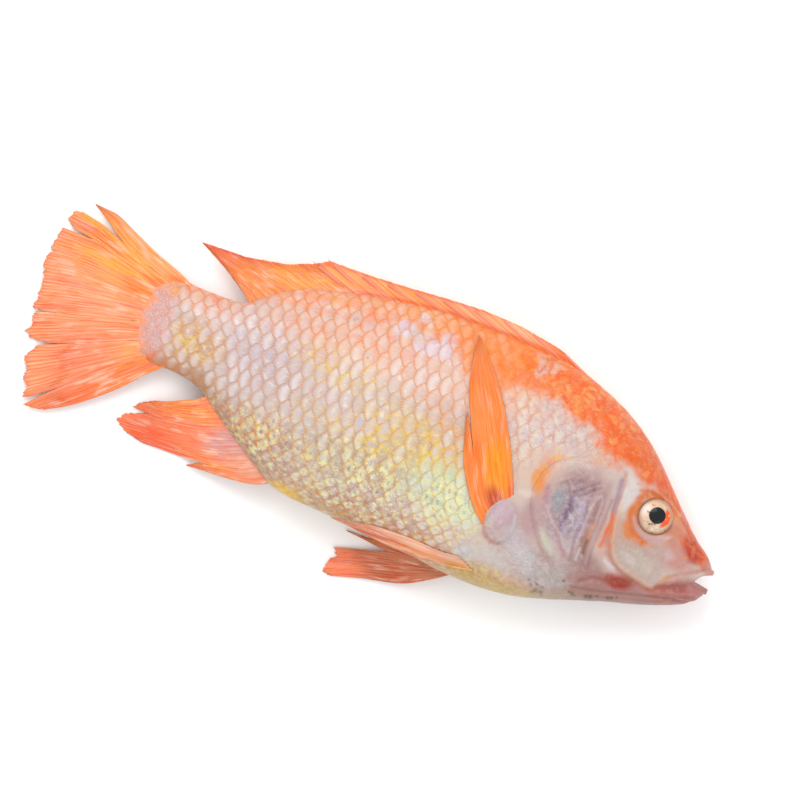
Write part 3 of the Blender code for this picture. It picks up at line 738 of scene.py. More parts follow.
class Wire:
    """A number that flows through a material's nodes."""

    def __init__(self, tree: bpy.types.NodeTree, source: Socket | float) -> None:
        """Takes hold of an output socket or a plain number."""
        self.tree = tree
        self.source = source

    def feed(self, socket: Socket) -> None:
        """Connects the wire, or sets its number, at an input socket."""
        if isinstance(self.source, Socket):
            self.tree.links.new(self.source, socket)
        else:
            socket.default_value = self.source

    def math(self, operation: str, *others: "Wire | float") -> "Wire":
        """The result of a Math node on this wire and up to two others."""
        node = self.tree.nodes.new("ShaderNodeMath")
        node.operation = operation
        self.feed(node.inputs[0])
        for other, socket in zip(others, list(node.inputs)[1:]):
            (other if isinstance(other, Wire) else Wire(self.tree, other)).feed(socket)
        return Wire(self.tree, node.outputs[0])

    def __add__(self, other: "Wire | float") -> "Wire":
        """Sum."""
        return self.math("ADD", other)

    def __sub__(self, other: "Wire | float") -> "Wire":
        """Difference."""
        return self.math("SUBTRACT", other)

    def __mul__(self, other: "Wire | float") -> "Wire":
        """Product."""
        return self.math("MULTIPLY", other)

    def __truediv__(self, other: "Wire | float") -> "Wire":
        """Quotient."""
        return self.math("DIVIDE", other)

    def step(self, low: float, high: float) -> "Wire":
        """A smooth step that is 0 at low and 1 at high."""
        node = self.tree.nodes.new("ShaderNodeMapRange")
        node.interpolation_type = "SMOOTHSTEP"
        self.feed(node.inputs["Value"])
        if low < high:
            node.inputs["From Min"].default_value, node.inputs["From Max"].default_value = low, high
            return Wire(self.tree, node.outputs["Result"])
        node.inputs["From Min"].default_value, node.inputs["From Max"].default_value = high, low
        node.inputs["To Min"].default_value, node.inputs["To Max"].default_value = 1, 0
        return Wire(self.tree, node.outputs["Result"])


class Finish:
    """A Principled material and the few kinds of node that the finishes share."""

    brightness = PAINT

    def __init__(self, name: str, **constants: float | tuple[float, ...]) -> None:
        """Makes the material.

        Args:
            name: The material's name.
            **constants: Shader sockets by name, with underscores for spaces.
        """
        self.material = bpy.data.materials.new(name)
        self.material.use_nodes = True
        self.tree = self.material.node_tree
        self.shader = self.tree.nodes["Principled BSDF"]
        for socket, value in constants.items():
            self.shader.inputs[socket.replace("_", " ")].default_value = value

    def wire(self, source: Socket | float) -> Wire:
        """A wire from a socket or a number."""
        return Wire(self.tree, source)

    def attribute(self, name: str) -> bpy.types.Node:
        """A node that reads one of the piece's attributes."""
        node = self.tree.nodes.new("ShaderNodeAttribute")
        node.attribute_name = name
        return node

    def separate(self, vector: Socket) -> tuple[Wire, Wire, Wire]:
        """A vector's three numbers."""
        node = self.tree.nodes.new("ShaderNodeSeparateXYZ")
        self.tree.links.new(vector, node.inputs[0])
        return tuple(Wire(self.tree, output) for output in node.outputs)

    def combine(self, *parts: Wire | float) -> Socket:
        """A vector of up to three numbers."""
        node = self.tree.nodes.new("ShaderNodeCombineXYZ")
        for part, socket in zip(parts, node.inputs):
            (part if isinstance(part, Wire) else Wire(self.tree, part)).feed(socket)
        return node.outputs[0]

    def place(self) -> Socket:
        """The piece's own coordinates, in metres."""
        return self.tree.nodes.new("ShaderNodeTexCoord").outputs["Object"]

    def noise(self, vector: Socket, scale: float, detail: float = 2.0) -> Wire:
        """Smooth noise.

        Args:
            vector: Where it is read.
            scale: How many features there are in one unit of the vector.
            detail: How many finer layers it has.

        Returns:
            Noise of about 0.2 to 0.8.
        """
        node = self.tree.nodes.new("ShaderNodeTexNoise")
        node.inputs["Scale"].default_value = scale
        node.inputs["Detail"].default_value = detail
        self.tree.links.new(vector, node.inputs["Vector"])
        return Wire(self.tree, node.outputs["Fac"])

    def random(self, vector: Socket) -> tuple[Wire, Wire, Wire]:
        """Three random numbers for each whole place of a vector."""
        node = self.tree.nodes.new("ShaderNodeTexWhiteNoise")
        node.noise_dimensions = "3D"
        self.tree.links.new(vector, node.inputs["Vector"])
        return self.separate(node.outputs["Color"])

    def blend(self, tone: Socket, share: Wire, laid: Laid, colour: Colour) -> Socket:
        """Lays a colour over another.

        Args:
            tone: The colour so far.
            share: How much of the new colour.
            laid: Whether it is paint or a stain.
            colour: The new colour.

        Returns:
            The mixed colour.
        """
        node = self.tree.nodes.new("ShaderNodeMix")
        node.data_type = "RGBA"
        node.blend_type = laid.value
        share.feed(node.inputs[0])
        self.tree.links.new(tone, node.inputs[6])
        tint = self.paint(colour) if laid is Laid.PAINT else np.array(colour) / 255
        node.inputs[7].default_value = (*tint, 1)
        return node.outputs[2]

    def layers(self, tone: Socket, rows: Iterable[tuple[Wire, Laid, Colour]]) -> None:
        """Gives the shader a colour with others laid over it.

        Args:
            tone: The colour underneath.
            rows: For each layer how much of it, how it is laid and its colour.
        """
        for share, laid, colour in rows:
            tone = self.blend(tone, share, laid, colour)
        self.tree.links.new(tone, self.shader.inputs["Base Color"])

    def paint(self, colour: Colour) -> Array:
        """A display colour as linear light, darkened for the bright studio."""
        return linear(colour) * self.brightness

    def plain(self, colour: Colour) -> Socket:
        """A colour that is the same all over."""
        node = self.tree.nodes.new("ShaderNodeRGB")
        node.outputs[0].default_value = (*self.paint(colour), 1)
        return node.outputs[0]

    def bump(self, height: Wire, distance: float, strength: float = 1.0) -> None:
        """Gives the shader a bump.

        Args:
            height: The relief, 0 to 1.
            distance: Its full height in metres.
            strength: How strongly it shows.
        """
        node = self.tree.nodes.new("ShaderNodeBump")
        node.inputs["Strength"].default_value = strength
        node.inputs["Distance"].default_value = distance
        height.feed(node.inputs["Height"])
        self.tree.links.new(node.outputs[0], self.shader.inputs["Normal"])


class WetSkin(Finish):
    """Skin under a film of water: overlapping scales, mottling and a soft gloss, with painted shade under the
    scales' edges and painted highlights.
    """

    def __init__(self) -> None:
        """Builds the material."""
        super().__init__(
            "wet_skin", Roughness=0.34, Coat_Weight=0.12, Coat_Roughness=0.12, Subsurface_Weight=0.06,
            Subsurface_Scale=0.0012, Subsurface_Radius=(1.0, 0.45, 0.3), Specular_IOR_Level=0.14,
        )
        u, v, strength = self.separate(self.attribute("scale_map").outputs["Vector"])
        gold, lilac, warm = self.separate(self.attribute("skin_look").outputs["Vector"])
        small, sparkle, mottle = self.separate(self.attribute("skin_grain").outputs["Vector"])
        edge, off, scale, row = self.scale_pattern(u, v)
        place = self.place()
        first, second, third = self.random(self.combine(scale, row, 0.0))
        fine, mid = self.noise(place, 1300, 3), self.noise(place, 480, 3)
        broad, wide = self.noise(place, 190, 3), self.noise(place, 90, 2)
        streaks = self.noise(self.combine(u * 2.4 + first * 9.0, v * 9.0 + off * first * 5.0, 3.0), 1.0, 3)
        cell, cell_edge = self.small_scales(place, 520)
        large, large_edge = self.small_scales(place, 240)

        cool = self.wire(1.0) - warm * 0.95
        middle = edge.step(0.12, 0.42) * edge.step(1.05, 0.5) * strength
        rim = edge.step(0.22, 0.03).math("MAXIMUM", edge.step(0.9, 1.0) * 0.4) * strength
        flecks = mid.step(0.42, 0.58) * (third * 0.7 + 0.3) * (wide.step(0.36, 0.5) * 0.6 + 0.4)
        soft_cell = small * warm * large.step(0.4, 0.9) * large_edge.step(0.04, 0.2)
        lustre = first * 0.6 + broad.step(0.36, 0.6) * 0.6 - 0.1
        shimmer = sparkle * lustre * mid.step(0.36, 0.6) * edge.step(0.02, 0.2) * edge.step(1.0, 0.5)
        pore = edge.step(0.34, 0.46) * edge.step(0.66, 0.54) * (off * off).step(0.04, 0.01)
        # glint and bright are painted highlights: glint whitens the raised middles of the scales, bright lays
        # wet white dots in the sparkle zones.
        glint = middle * mid.step(0.55, 0.68) * (second * 0.6 + 0.2)
        bright = sparkle * fine.step(0.56, 0.7) * mid.step(0.44, 0.6)
        self.layers(self.attribute("skin_tone").outputs["Color"], (
            (middle * (first * 0.7 + 0.1) * cool, Laid.PAINT, (252, 242, 242)),
            (middle * second * 0.35, Laid.STAIN, (214, 200, 202)),
            # Painted shade: each scale darkens towards its front, where the free edge of the scale ahead
            # shades it.
            (edge.step(0.45, 0.95) * strength * 0.55, Laid.STAIN, (230, 196, 182)),
            (rim * broad.step(0.4, 0.56) * 0.75, Laid.PAINT, (244, 166, 96)),
            (rim * broad.step(0.54, 0.4) * 0.6, Laid.PAINT, (204, 160, 148)),
            (rim * 0.3, Laid.STAIN, (240, 190, 166)),
            (rim * warm * 0.6, Laid.PAINT, (250, 130, 48)),
            (gold * flecks * (rim * 0.4 + 0.6), Laid.PAINT, (250, 208, 70)),
            (lilac * broad.step(0.46, 0.6) * (middle * 0.6 + 0.3), Laid.PAINT, (212, 198, 220)),
            (warm * broad.step(0.47, 0.6) * 0.5, Laid.PAINT, (258, 112, 16)),
            (warm * broad.step(0.46, 0.34) * 0.4, Laid.PAINT, (256, 168, 92)),
            (warm * mid.step(0.5, 0.64) * 0.45, Laid.PAINT, (256, 140, 36)),
            (streaks.step(0.5, 0.3) * strength * 0.5, Laid.STAIN, (222, 200, 190)),
            (streaks.step(0.54, 0.7) * strength * cool * 0.35, Laid.PAINT, (252, 246, 236)),
            (mottle * mid.step(0.5, 0.34) * 0.6, Laid.STAIN, (212, 178, 182)),
            (mottle * fine.step(0.48, 0.36) * 0.3, Laid.STAIN, (206, 172, 178)),
            (mottle * cool * mid.step(0.52, 0.66) * 0.4, Laid.PAINT, (236, 222, 220)),
            (mottle * cool * fine.step(0.54, 0.72) * 0.22, Laid.PAINT, (238, 224, 220)),
            (small * cell_edge.step(0.16, 0.0) * 0.6, Laid.STAIN, (246, 176, 136)),
            (small * cell * cell * warm * 0.3, Laid.PAINT, (252, 176, 118)),
            (small * cell * cell * cool * 0.4, Laid.PAINT, (244, 222, 216)),
            (soft_cell * 0.8, Laid.PAINT, (258, 184, 104)),
            (small * warm * large.step(0.4, 0.1) * 0.35, Laid.PAINT, (252, 92, 8)),
            (sparkle * mid.step(0.46, 0.32) * 0.45, Laid.STAIN, (214, 178, 172)),
            (shimmer * 0.85, Laid.PAINT, (242, 244, 166)),
            (pore * sparkle * (third * 0.8), Laid.STAIN, (168, 150, 112)),
            # Painted highlights: white on the scales' middles and wet white dots.
            (glint * cool * 0.7, Laid.PAINT, (264, 258, 252)),
            (bright * 0.8, Laid.PAINT, (262, 266, 242)),
            (fine.step(0.46, 0.26) * 0.35, Laid.STAIN, (226, 200, 188)),
        ))
        relief = (edge * -0.8 + (off * off) * -0.35 + 0.9) * strength
        texture = fine * 0.35 + mid * 0.5 + small * cell_edge.step(0.0, 0.3) * 0.5
        self.bump(relief * 0.9 + texture + streaks * strength * 0.3, 0.0005, 0.8)

    def small_scales(self, place: Socket, scale: float) -> tuple[Wire, Wire]:
        """Small close-set scales.

        Args:
            place: Where they are read.
            scale: How many there are in a metre.

        Returns:
            A random number for each scale, and the distance from its edge.
        """
        found = []
        for feature in ("F1", "DISTANCE_TO_EDGE"):
            node = self.tree.nodes.new("ShaderNodeTexVoronoi")
            node.feature = feature
            node.inputs["Scale"].default_value = scale
            self.tree.links.new(place, node.inputs["Vector"])
            found.append(node)
        return self.separate(found[0].outputs["Color"])[0], self.wire(found[1].outputs["Distance"])

    def scale_pattern(self, u: Wire, v: Wire) -> tuple[Wire, Wire, Wire, Wire]:
        """The overlap of the scales, as in ScaleRows.pattern.

        Args:
            u: Place along the rows, in steps.
            v: Place across the rows, in rows.

        Returns:
            The share of a step from the free edge, how far off the row's middle, and the
            scale's own numbers along and across.
        """
        found = []
        for k in (0, 1):
            row = v.math("FLOOR") + k
            off = v - row
            arc = (off / SCALES.arc_reach).math("POWER", 2.0)
            arc = arc.math("MULTIPLY", -1.0).math("ADD", 1.0).math("MAXIMUM", 0.0).math("SQRT")
            shift = row.math("FLOORED_MODULO", 2.0) * 0.5
            place = u + arc * SCALES.arc_depth - shift
            scale = place.math("FLOOR")
            found.append((scale + shift, place - scale, off, row))
        first = found[0][0].math("GREATER_THAN", found[1][0])
        picked = [b + (a - b) * first for a, b in zip(found[0], found[1])]
        return picked[1], picked[2], picked[0], picked[3]


class FinSkin(Finish):
    """Fin membrane over branching rays, in streaks that follow them."""

    brightness = FIN_PAINT

    def __init__(self, name: str, contrast: float) -> None:
        """Builds the material.

        Args:
            name: The material's name.
            contrast: How strongly the streaks and patches show.
        """
        super().__init__(
            name, Roughness=0.4, Coat_Weight=0.08, Coat_Roughness=0.15, Subsurface_Weight=0.06,
            Subsurface_Scale=0.001, Subsurface_Radius=(1.0, 0.4, 0.2), Specular_IOR_Level=0.12,
        )
        ray, out, gold = self.separate(self.attribute("fin_map").outputs["Vector"])
        streak = self.noise(self.combine(ray * 3.0, out * 1.8, 0.0), 1.0, 3)
        thin = self.noise(self.combine(ray * 9.0, out * 3.5, 5.0), 1.0, 3)
        patch = self.noise(self.combine(ray * 0.9, out * 5.0, 9.0), 1.0, 3)
        blotch = self.noise(self.combine(ray * 1.5, out * 7.0, 3.0), 1.0, 2)
        joint = self.noise(self.combine(ray * 6.0, out * 90.0, 2.0), 1.0, 1)
        grain = self.noise(self.place(), 1500, 2)
        line = self.rays(ray + (patch - 0.5) * 0.25, out)

        yellow = gold * streak.step(0.58, 0.44) * patch.step(0.36, 0.54)
        pale = patch.step(0.53, 0.66) * thin.step(0.36, 0.56)
        self.layers(self.attribute("fin_tone").outputs["Color"], (
            (blotch.step(0.5, 0.36) * 0.7 * contrast, Laid.STAIN, (255, 198, 150)),
            (yellow * 0.85, Laid.PAINT, (254, 186, 62)),
            (pale * 0.7 * contrast, Laid.PAINT, (255, 206, 182)),
            (streak.step(0.55, 0.68) * 0.6 * contrast, Laid.PAINT, (244, 116, 104)),
            (thin.step(0.52, 0.66) * 0.4 * contrast, Laid.PAINT, (255, 202, 164)),
            (thin.step(0.48, 0.34) * 0.5 * contrast, Laid.STAIN, (250, 162, 128)),
            (line * (out * 0.45 + 0.3), Laid.STAIN, (240, 140, 110)),
            (grain.step(0.46, 0.3) * 0.3, Laid.STAIN, (230, 196, 176)),
        ))
        self.bump(line * -0.7 + thin * 0.4 + joint * 0.15, 0.0003, 0.8)

    def rays(self, ray: Wire, out: Wire) -> Wire:
        """Dark lines between the rays, which fork twice on their way out.

        Args:
            ray: Place across the rays, in rays.
            out: Share of the way out from the fin's base.

        Returns:
            1 in the furrows and 0 on the rays.
        """
        wholes = []
        for forks in (1.0, 2.0, 4.0):
            beat = (ray * forks).math("FRACT").math("SUBTRACT", 0.5).math("ABSOLUTE") * 2.0
            wholes.append(beat.step(0.62, 1.0))
        once = wholes[0] + (wholes[1] - wholes[0]) * out.step(0.15, 0.5)
        return once + (wholes[2] - once) * out.step(0.45, 0.85)


class Eyeball(Finish):
    """A fish's eye: black pupil, pale golden iris with blood at its edge, wet cornea, and painted highlights
    and shade.
    """

    brightness = 0.78
    pupil = (120.1, 12.8)
    # The middle of a painted highlight on the iris.
    shine = (113.8, 13.4)
    blood = (121.3, 12.6)
    blood_from = 122.2
    lower_left = (114.0, 7.6)
    spots = (
        (117.0, 16.1, 0.4, (240, 104, 30), 0.9), (118.0, 16.5, 0.3, (240, 120, 40), 0.9),
        (116.2, 13.0, 0.5, (180, 84, 50), 0.8), (118.2, 8.4, 0.4, (84, 56, 34), 0.85),
        (119.4, 8.7, 0.4, (70, 46, 30), 0.85), (120.4, 9.0, 0.3, (70, 46, 30), 0.85),
        (120.6, 5.4, 0.5, (124, 112, 50), 0.7), (122.0, 5.8, 0.3, (150, 120, 60), 0.6),
        # The two pale spots at 120.0, 6.6 and 121.6, 8.1 are painted highlights; the others are the eye's own
        # marks.
        (120.0, 6.6, 0.6, (240, 224, 208), 0.8), (121.6, 8.1, 0.5, (238, 222, 206), 0.8),
        (125.4, 8.0, 0.5, (110, 80, 50), 0.7), (117.2, 8.9, 0.3, (226, 120, 80), 0.8),
    )

    def __init__(self) -> None:
        """Builds the material, its marks placed in millimetres of the side view."""
        super().__init__(
            "eye_ball", Roughness=0.24, Coat_Weight=0.25, Coat_Roughness=0.04, Subsurface_Weight=0.08,
            Subsurface_Scale=0.001, Specular_IOR_Level=0.2,
        )
        x, y, _ = self.separate(self.place())
        self.x, self.y = x * 1000, y * 1000
        fibres = self.noise(self.place(), 900, 3)
        cloud = self.noise(self.place(), 260, 2)
        centre = self.away(FORM.eye_centre)
        right, up = self.past(self.lower_left)
        corner = (up * 0.8 + right * 0.6).step(0.6, -1.6)
        arc = centre.step(5.8, 6.3) * centre.step(7.0, 6.5) * corner
        blood = (self.away(self.blood) + fibres * 1.6).step(5.5, 5.0)
        blood = blood * self.past((self.blood_from, 0.0))[0].step(0.0, 1.2) * fibres.step(0.3, 0.44)
        rows = [
            (cloud.step(0.4, 0.7) * 0.6, Laid.PAINT, (234, 210, 188)),
            (fibres.step(0.46, 0.7) * 0.6, Laid.PAINT, (208, 162, 130)),
            # A painted highlight: a pale glow on the iris left of the pupil.
            (self.away(self.shine).step(4.6, 0.8) * 0.9, Laid.PAINT, (252, 240, 226)),
            (arc, Laid.PAINT, (206, 138, 46)),
            (centre.step(6.6, 7.1) * corner * 0.8, Laid.PAINT, (196, 166, 172)),
            (blood * 0.95, Laid.PAINT, (250, 80, 0)),
        ]
        for spot_x, spot_y, size, tint, share in self.spots:
            spot = self.away((spot_x, spot_y)) + fibres * 1.6
            rows.append((spot.step(size + 1.1, size + 0.5) * share, Laid.PAINT, tint))
        # A darker ring at the eyeball's edge: partly the iris's golden-brown rim, partly painted shade where
        # the socket meets the eyeball.
        rows.append((centre.step(5.9, 7.3) * 0.8, Laid.PAINT, (176, 122, 76)))
        rows.append(((self.away(self.pupil) + fibres * 0.5).step(3.85, 3.55), Laid.PAINT, (5, 9, 14)))
        self.layers(self.plain((222, 192, 166)), rows)

    def past(self, centre: tuple[float, float]) -> tuple[Wire, Wire]:
        """How far along and up the fish from a place of the side view."""
        return self.x - (centre[0] - OUTLINE_CENTRE[0]), self.y - (centre[1] - OUTLINE_CENTRE[1])

    def away(self, centre: tuple[float, float]) -> Wire:
        """Distance from a line that looks straight up from a place of the side view."""
        across, up = self.past(centre)
        return (across * across + up * up).math("SQRT")


class MouthLining(Finish):
    """The pink wet lining of the mouth."""

    brightness = 1.0

    def __init__(self) -> None:
        """Builds the material."""
        super().__init__(
            "mouth_lining", Roughness=0.3, Subsurface_Weight=0.2, Subsurface_Scale=0.003, Coat_Weight=0.3
        )
        veins = self.noise(self.place(), 400, 3)
        self.layers(self.plain((196, 128, 118)), [(veins.step(0.4, 0.7) * 0.6, Laid.PAINT, (150, 72, 66))])
        self.bump(veins, 0.0004, 0.6)


class PaleFloor(Finish):
    """A plain white floor."""

    def __init__(self) -> None:
        """Builds the material."""
        super().__init__(
            "pale_floor", Roughness=0.9, Base_Color=(0.95, 0.95, 0.95, 1), Specular_IOR_Level=0.1
        )


def attribute_on(mesh: bpy.types.Mesh, name: str, kind: str, values: Array) -> None:
    """Stores a value for each vertex.

    Args:
        mesh: The mesh.
        name: The attribute's name.
        kind: FLOAT_VECTOR or FLOAT_COLOR.
        values: One row of three numbers for each vertex.
    """
    made = mesh.attributes.new(name, kind, "POINT")
    if kind == "FLOAT_COLOR":
        values = np.concatenate([values, np.ones((len(values), 1))], axis=1)
    made.data.foreach_set(
        "vector" if kind == "FLOAT_VECTOR" else "color", values.astype(np.float32).ravel()
    )


def mesh_from(bm: bmesh.types.BMesh, name: str) -> bpy.types.Mesh:
    """A new mesh of what was built, which is then set free."""
    mesh = bpy.data.meshes.new(name)
    bm.to_mesh(mesh)
    bm.free()
    return mesh


@dataclass
class Sheet:
    """A grid of cells, bent to shape: each vertex is placed by its column and row."""

    name: str
    columns: int
    rows: int
    margin: tuple[float, float, float] = (0.03, 0.03, 0.03)

    def build(
        self,
        place: Callable[[Array, Array], Placed],
        gone: Callable[[Array, Array], Array] | None = None,
    ) -> bpy.types.Mesh:
        """Makes the mesh.

        Args:
            place: Gives positions in metres and attributes for columns and rows.
            gone: Says for columns and rows which vertices are cut away.

        Returns:
            The bent mesh, its doubles merged.
        """
        bm = bmesh.new()
        bmesh.ops.create_grid(bm, x_segments=self.columns, y_segments=self.rows, size=1)
        mesh = mesh_from(bm, self.name)
        flat = np.empty(len(mesh.vertices) * 3, np.float32)
        mesh.vertices.foreach_get("co", flat)
        flat = flat.reshape(-1, 3)
        column = np.rint((flat[:, 0] + 1) / 2 * self.columns)
        row = np.rint((flat[:, 1] + 1) / 2 * self.rows)
        positions, values = place(column, row)
        low, high = (np.array(corner) for corner in CAD_BOX)
        margin = np.array(self.margin) * MM
        positions = np.clip(positions, low + margin, high - margin)
        mesh.vertices.foreach_set("co", positions.astype(np.float32).ravel())
        for name, (kind, rows) in values.items():
            attribute_on(mesh, name, kind, rows)
        self.mend(mesh, None if gone is None else gone(column, row))
        return mesh

    @staticmethod
    def mend(mesh: bpy.types.Mesh, gone: Array | None) -> None:
        """Cuts away what is dropped, merges doubles and turns faces outwards.

        Args:
            mesh: The mesh, changed in place.
            gone: Which vertices are dropped.
        """
        bm = bmesh.new()
        bm.from_mesh(mesh)
        if gone is not None:
            faces = [f for f in bm.faces if all(gone[v.index] for v in f.verts)]
            bmesh.ops.delete(bm, geom=faces, context="FACES")
        bmesh.ops.remove_doubles(bm, verts=bm.verts, dist=WELD_GAP * MM)
        bmesh.ops.recalc_face_normals(bm, faces=bm.faces)
        bm.to_mesh(mesh)
        bm.free()


def finished(
    mesh: bpy.types.Mesh, finish: Finish, node: str = "fish"
) -> bpy.types.Object:
    """Makes a piece of the dressed model, with its mesh's name.

    Args:
        mesh: Its mesh, in place.
        finish: Its finish.
        node: The solid that it stands for.

    Returns:
        The new object.
    """
    mesh.shade_smooth()
    mesh.materials.append(finish.material)
    piece = bpy.data.objects.new(mesh.name, mesh)
    bpy.context.scene.collection.objects.link(piece)
    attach(piece, "root")
    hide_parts(node)
    return piece


@dataclass
class Skin:
    """The skin of the head and the trunk, in two sheets that meet at the gill cover."""

    finish: Finish
    around_upper: int = 190
    around_lower: int = 130
    trunk_columns: int = 240
    head_columns: int = 190
    tail_end: float = -109.0
    snout: float = 151.5
    tuck: float = 6.0
    seam_passes: int = 40
    gape_rim: Points = (
        (156.0, -1.0), (150.4, -1.7), (147.4, -3.1), (145.2, -5.0), (143.8, -7.4), (147.0, -8.0),
        (151.4, -8.7), (156.0, -8.7),
    )

    def __post_init__(self) -> None:
        """Spaces the turns evenly along a section, closer together on the upper flank."""
        fine = np.linspace(0, math.pi, 1801)
        y, z = self.section(np.full_like(fine, 40.0), fine)
        travelled = running(np.hypot(np.diff(y), np.diff(z)))
        upper = np.interp(np.linspace(0, travelled[-1], self.around_upper + 1), travelled, fine)
        lower = np.interp(np.linspace(0, travelled[-1], self.around_lower + 1), travelled, fine)
        self.turns = np.concatenate([upper, 2 * math.pi - lower[::-1][1:]])
        self.seam = self.seam_places()

    def section(self, x: Array, turn: Array) -> tuple[Array, Array]:
        """Side view height and height over the floor, at a turn from the back over the upper flank."""
        y = FORM.around(x, turn)
        return y, FORM.height(x, y, np.where(turn <= math.pi, 1, -1))

    def seam_places(self) -> Array:
        """The x where the two sheets meet, for each turn."""
        x = np.full_like(self.turns, 80.0)
        for _ in range(self.seam_passes):
            x = 0.5 * x + 0.5 * FORM.edge_at(FORM.around(x, self.turns), FORM.gill_cover_edge)
        return x

    @staticmethod
    def flap(y: Array) -> Array:
        """1 where the gill cover is a free flap and 0 where it grows into the skin."""
        return ease((23.5 - y) / 5) * ease((y + 27) / 8)

    def detail(self, x: Array, y: Array, side: Array) -> Array:
        """Relief too fine for the solid.

        Args:
            x, y: Place in the side view.
            side: 1 on the upper flank, -1 on the lower one; not used.

        Returns:
            Height over the solid's skin.
        """
        lift = sum(mark.lift * mark.profile(x, y) for mark in COLOURS.marks if mark.lift)
        lift = lift - 1.3 * np.exp(-((np.hypot(x - 137.8, y - 7.0) / 0.9) ** 2))
        wrinkled = FORM.swelling(x, y, (86, 0), (16, 26))
        lift = lift + wrinkled * (0.45 * Ripple(31, 3.2)(x, y * 0.6) + 0.2 * Ripple(32, 1.6)(x, y))
        head = 1 - FORM.behind(x, y, FORM.gill_cover_edge, 4.0)
        lift = lift + head * (0.12 * Ripple(33, 4)(x, y) + 0.05 * Ripple(34, 1.4)(x, y))
        pad = ease((1 - np.hypot((x - 61.2) / 7.0, (y + 12.2) / 9.8)) / 0.22) * ease((70 - x) / 10)
        pad = pad * (1 + 0.1 * Ripple(36, 1.1)(x * 0.4, y))
        lip = np.exp(-((nearest_on(x, y, self.gape_rim)[0] / 1.1) ** 2))
        return lift + 0.10 * Ripple(35, 7)(x, y) * (1 - head) + 1.7 * pad + 0.5 * lip

    def socket(self, x: Array, y: Array) -> Array:
        """How far the skin dips to make room for the eye, with a rim round it."""
        reach = np.hypot(x - FORM.eye_centre[0], y - FORM.eye_centre[1])
        rim = 0.35 * np.exp(-(((reach - 8.4) / 0.6) ** 2)) - 0.4 * np.exp(-(((reach - 10.2) / 0.8) ** 2))
        return rim - 1.1 * ease((11 - reach) / 3.4) - 3.2 * ease((7.7 - reach) / 1.1)

    def rows_across(self, x: Array, turn: Array) -> Array:
        """The row of scales at each point, counted from the middle of the flank.

        Args:
            x: Along the fish, a row of equal values for each section.
            turn: The turns round the body, the same for each section.

        Returns:
            Rows, mirrored from the upper flank to the lower one.
        """
        folded = np.where(turn > math.pi, 2 * math.pi - turn, turn)
        fine = np.linspace(0, math.pi, 361)
        places = np.unique(np.round(x, 1))
        table = np.empty((len(places), len(fine)))
        for i, place in enumerate(places):
            y, z = self.section(np.full_like(fine, place), fine)
            shrink = 1 - 0.52 * ease((-11 - y) / 12)
            row_heights = SCALES.row_height(place) * (shrink[1:] + shrink[:-1]) / 2
            rows = -running(np.hypot(np.diff(y), np.diff(z)) / row_heights)
            table[i] = rows - np.interp(-SCALES.first_row, -y, rows)
        column = np.searchsorted(places, np.round(x, 1))
        share = folded / math.pi * (len(fine) - 1)
        low = np.minimum(share.astype(int), len(fine) - 2)
        part = share - low
        return table[column, low] * (1 - part) + table[column, low + 1] * part

    def place(
        self,
        x: Array,
        row: Array,
        cover: Callable[[Array, Array], Array],
        drop: Array,
    ) -> Placed:
        """Positions and attributes of a skin sheet.

        Args:
            x: Along the fish, for each vertex.
            row: The vertex's row round the body.
            cover: What the gill cover adds, from x and y.
            drop: How far each vertex is tucked in.

        Returns:
            Positions in metres and the attributes that the finish reads.
        """
        turn = self.turns[row.astype(int)]
        side = np.where(turn <= math.pi, 1, -1)
        x, y = self.out_of_gape(x, FORM.around(x, turn))
        z = FORM.height(x, y, side, cover(x, y))
        rows = self.rows_across(x, turn)
        steps = x / SCALES.pitch + 0.14 * Ripple(41, 13)(x, rows * 6) + 0.07 * Ripple(43, 5)(x, rows * 6)
        rows = rows + 0.12 * Ripple(42, 15)(x, rows * 6) + 0.07 * Ripple(44, 5)(x, rows * 6)
        strength = np.clip(SCALES.strength(x, y), 0, 1)
        edge, off = SCALES.pattern(steps, rows)
        crown = 1 - 0.5 * off**2
        scales = SCALES.relief * strength * ((1 - edge) * ease(edge / 0.12) * crown - 0.35)
        lift = self.detail(x, y, side) + scales + self.socket(x, y) - drop
        out_y = (y - FORM.midline(x)) / FORM.half_depth(x)
        flat = FORM.bulge(x, y)
        y = y + lift * out_y * (1 - flat)
        z = np.maximum(z + side * lift * np.minimum(flat * 1.6, 1.0), FLOOR_GAP)
        guide = np.stack([steps, rows, strength], axis=1)
        return in_metres(x, y, z), {**COLOURS.guides(x, y), "scale_map": ("FLOAT_VECTOR", guide)}

    def in_gape(self, x: Array, y: Array) -> Array:
        """Which points of the side view are between the jaws."""
        inside = np.zeros(np.shape(x), bool)
        for (ax, ay), (bx, by) in zip(self.gape_rim, self.gape_rim[1:] + self.gape_rim[:1]):
            at = ax + (y - ay) * (bx - ax) / (by - ay if by != ay else 1)
            inside ^= ((ay > y) != (by > y)) & (x < at)
        return inside

    def out_of_gape(self, x: Array, y: Array) -> tuple[Array, Array]:
        """Moves points that are between the jaws to the nearest jaw's rim.

        Args:
            x, y: Place in the side view.

        Returns:
            The moved x and y.
        """
        inside = self.in_gape(x, y)
        _, rim_x, rim_y = nearest_on(x, y, self.gape_rim)
        return np.where(inside, rim_x, x), np.where(inside, rim_y, y)

    def trunk(self) -> bpy.types.Object:
        """The trunk's skin, which runs on under the gill cover."""

        def cover(x: Array, y: Array) -> Array:
            """The gill cover's rise where it grows into the skin."""
            return FORM.gill_cover(x, y) * (1 - self.flap(y))

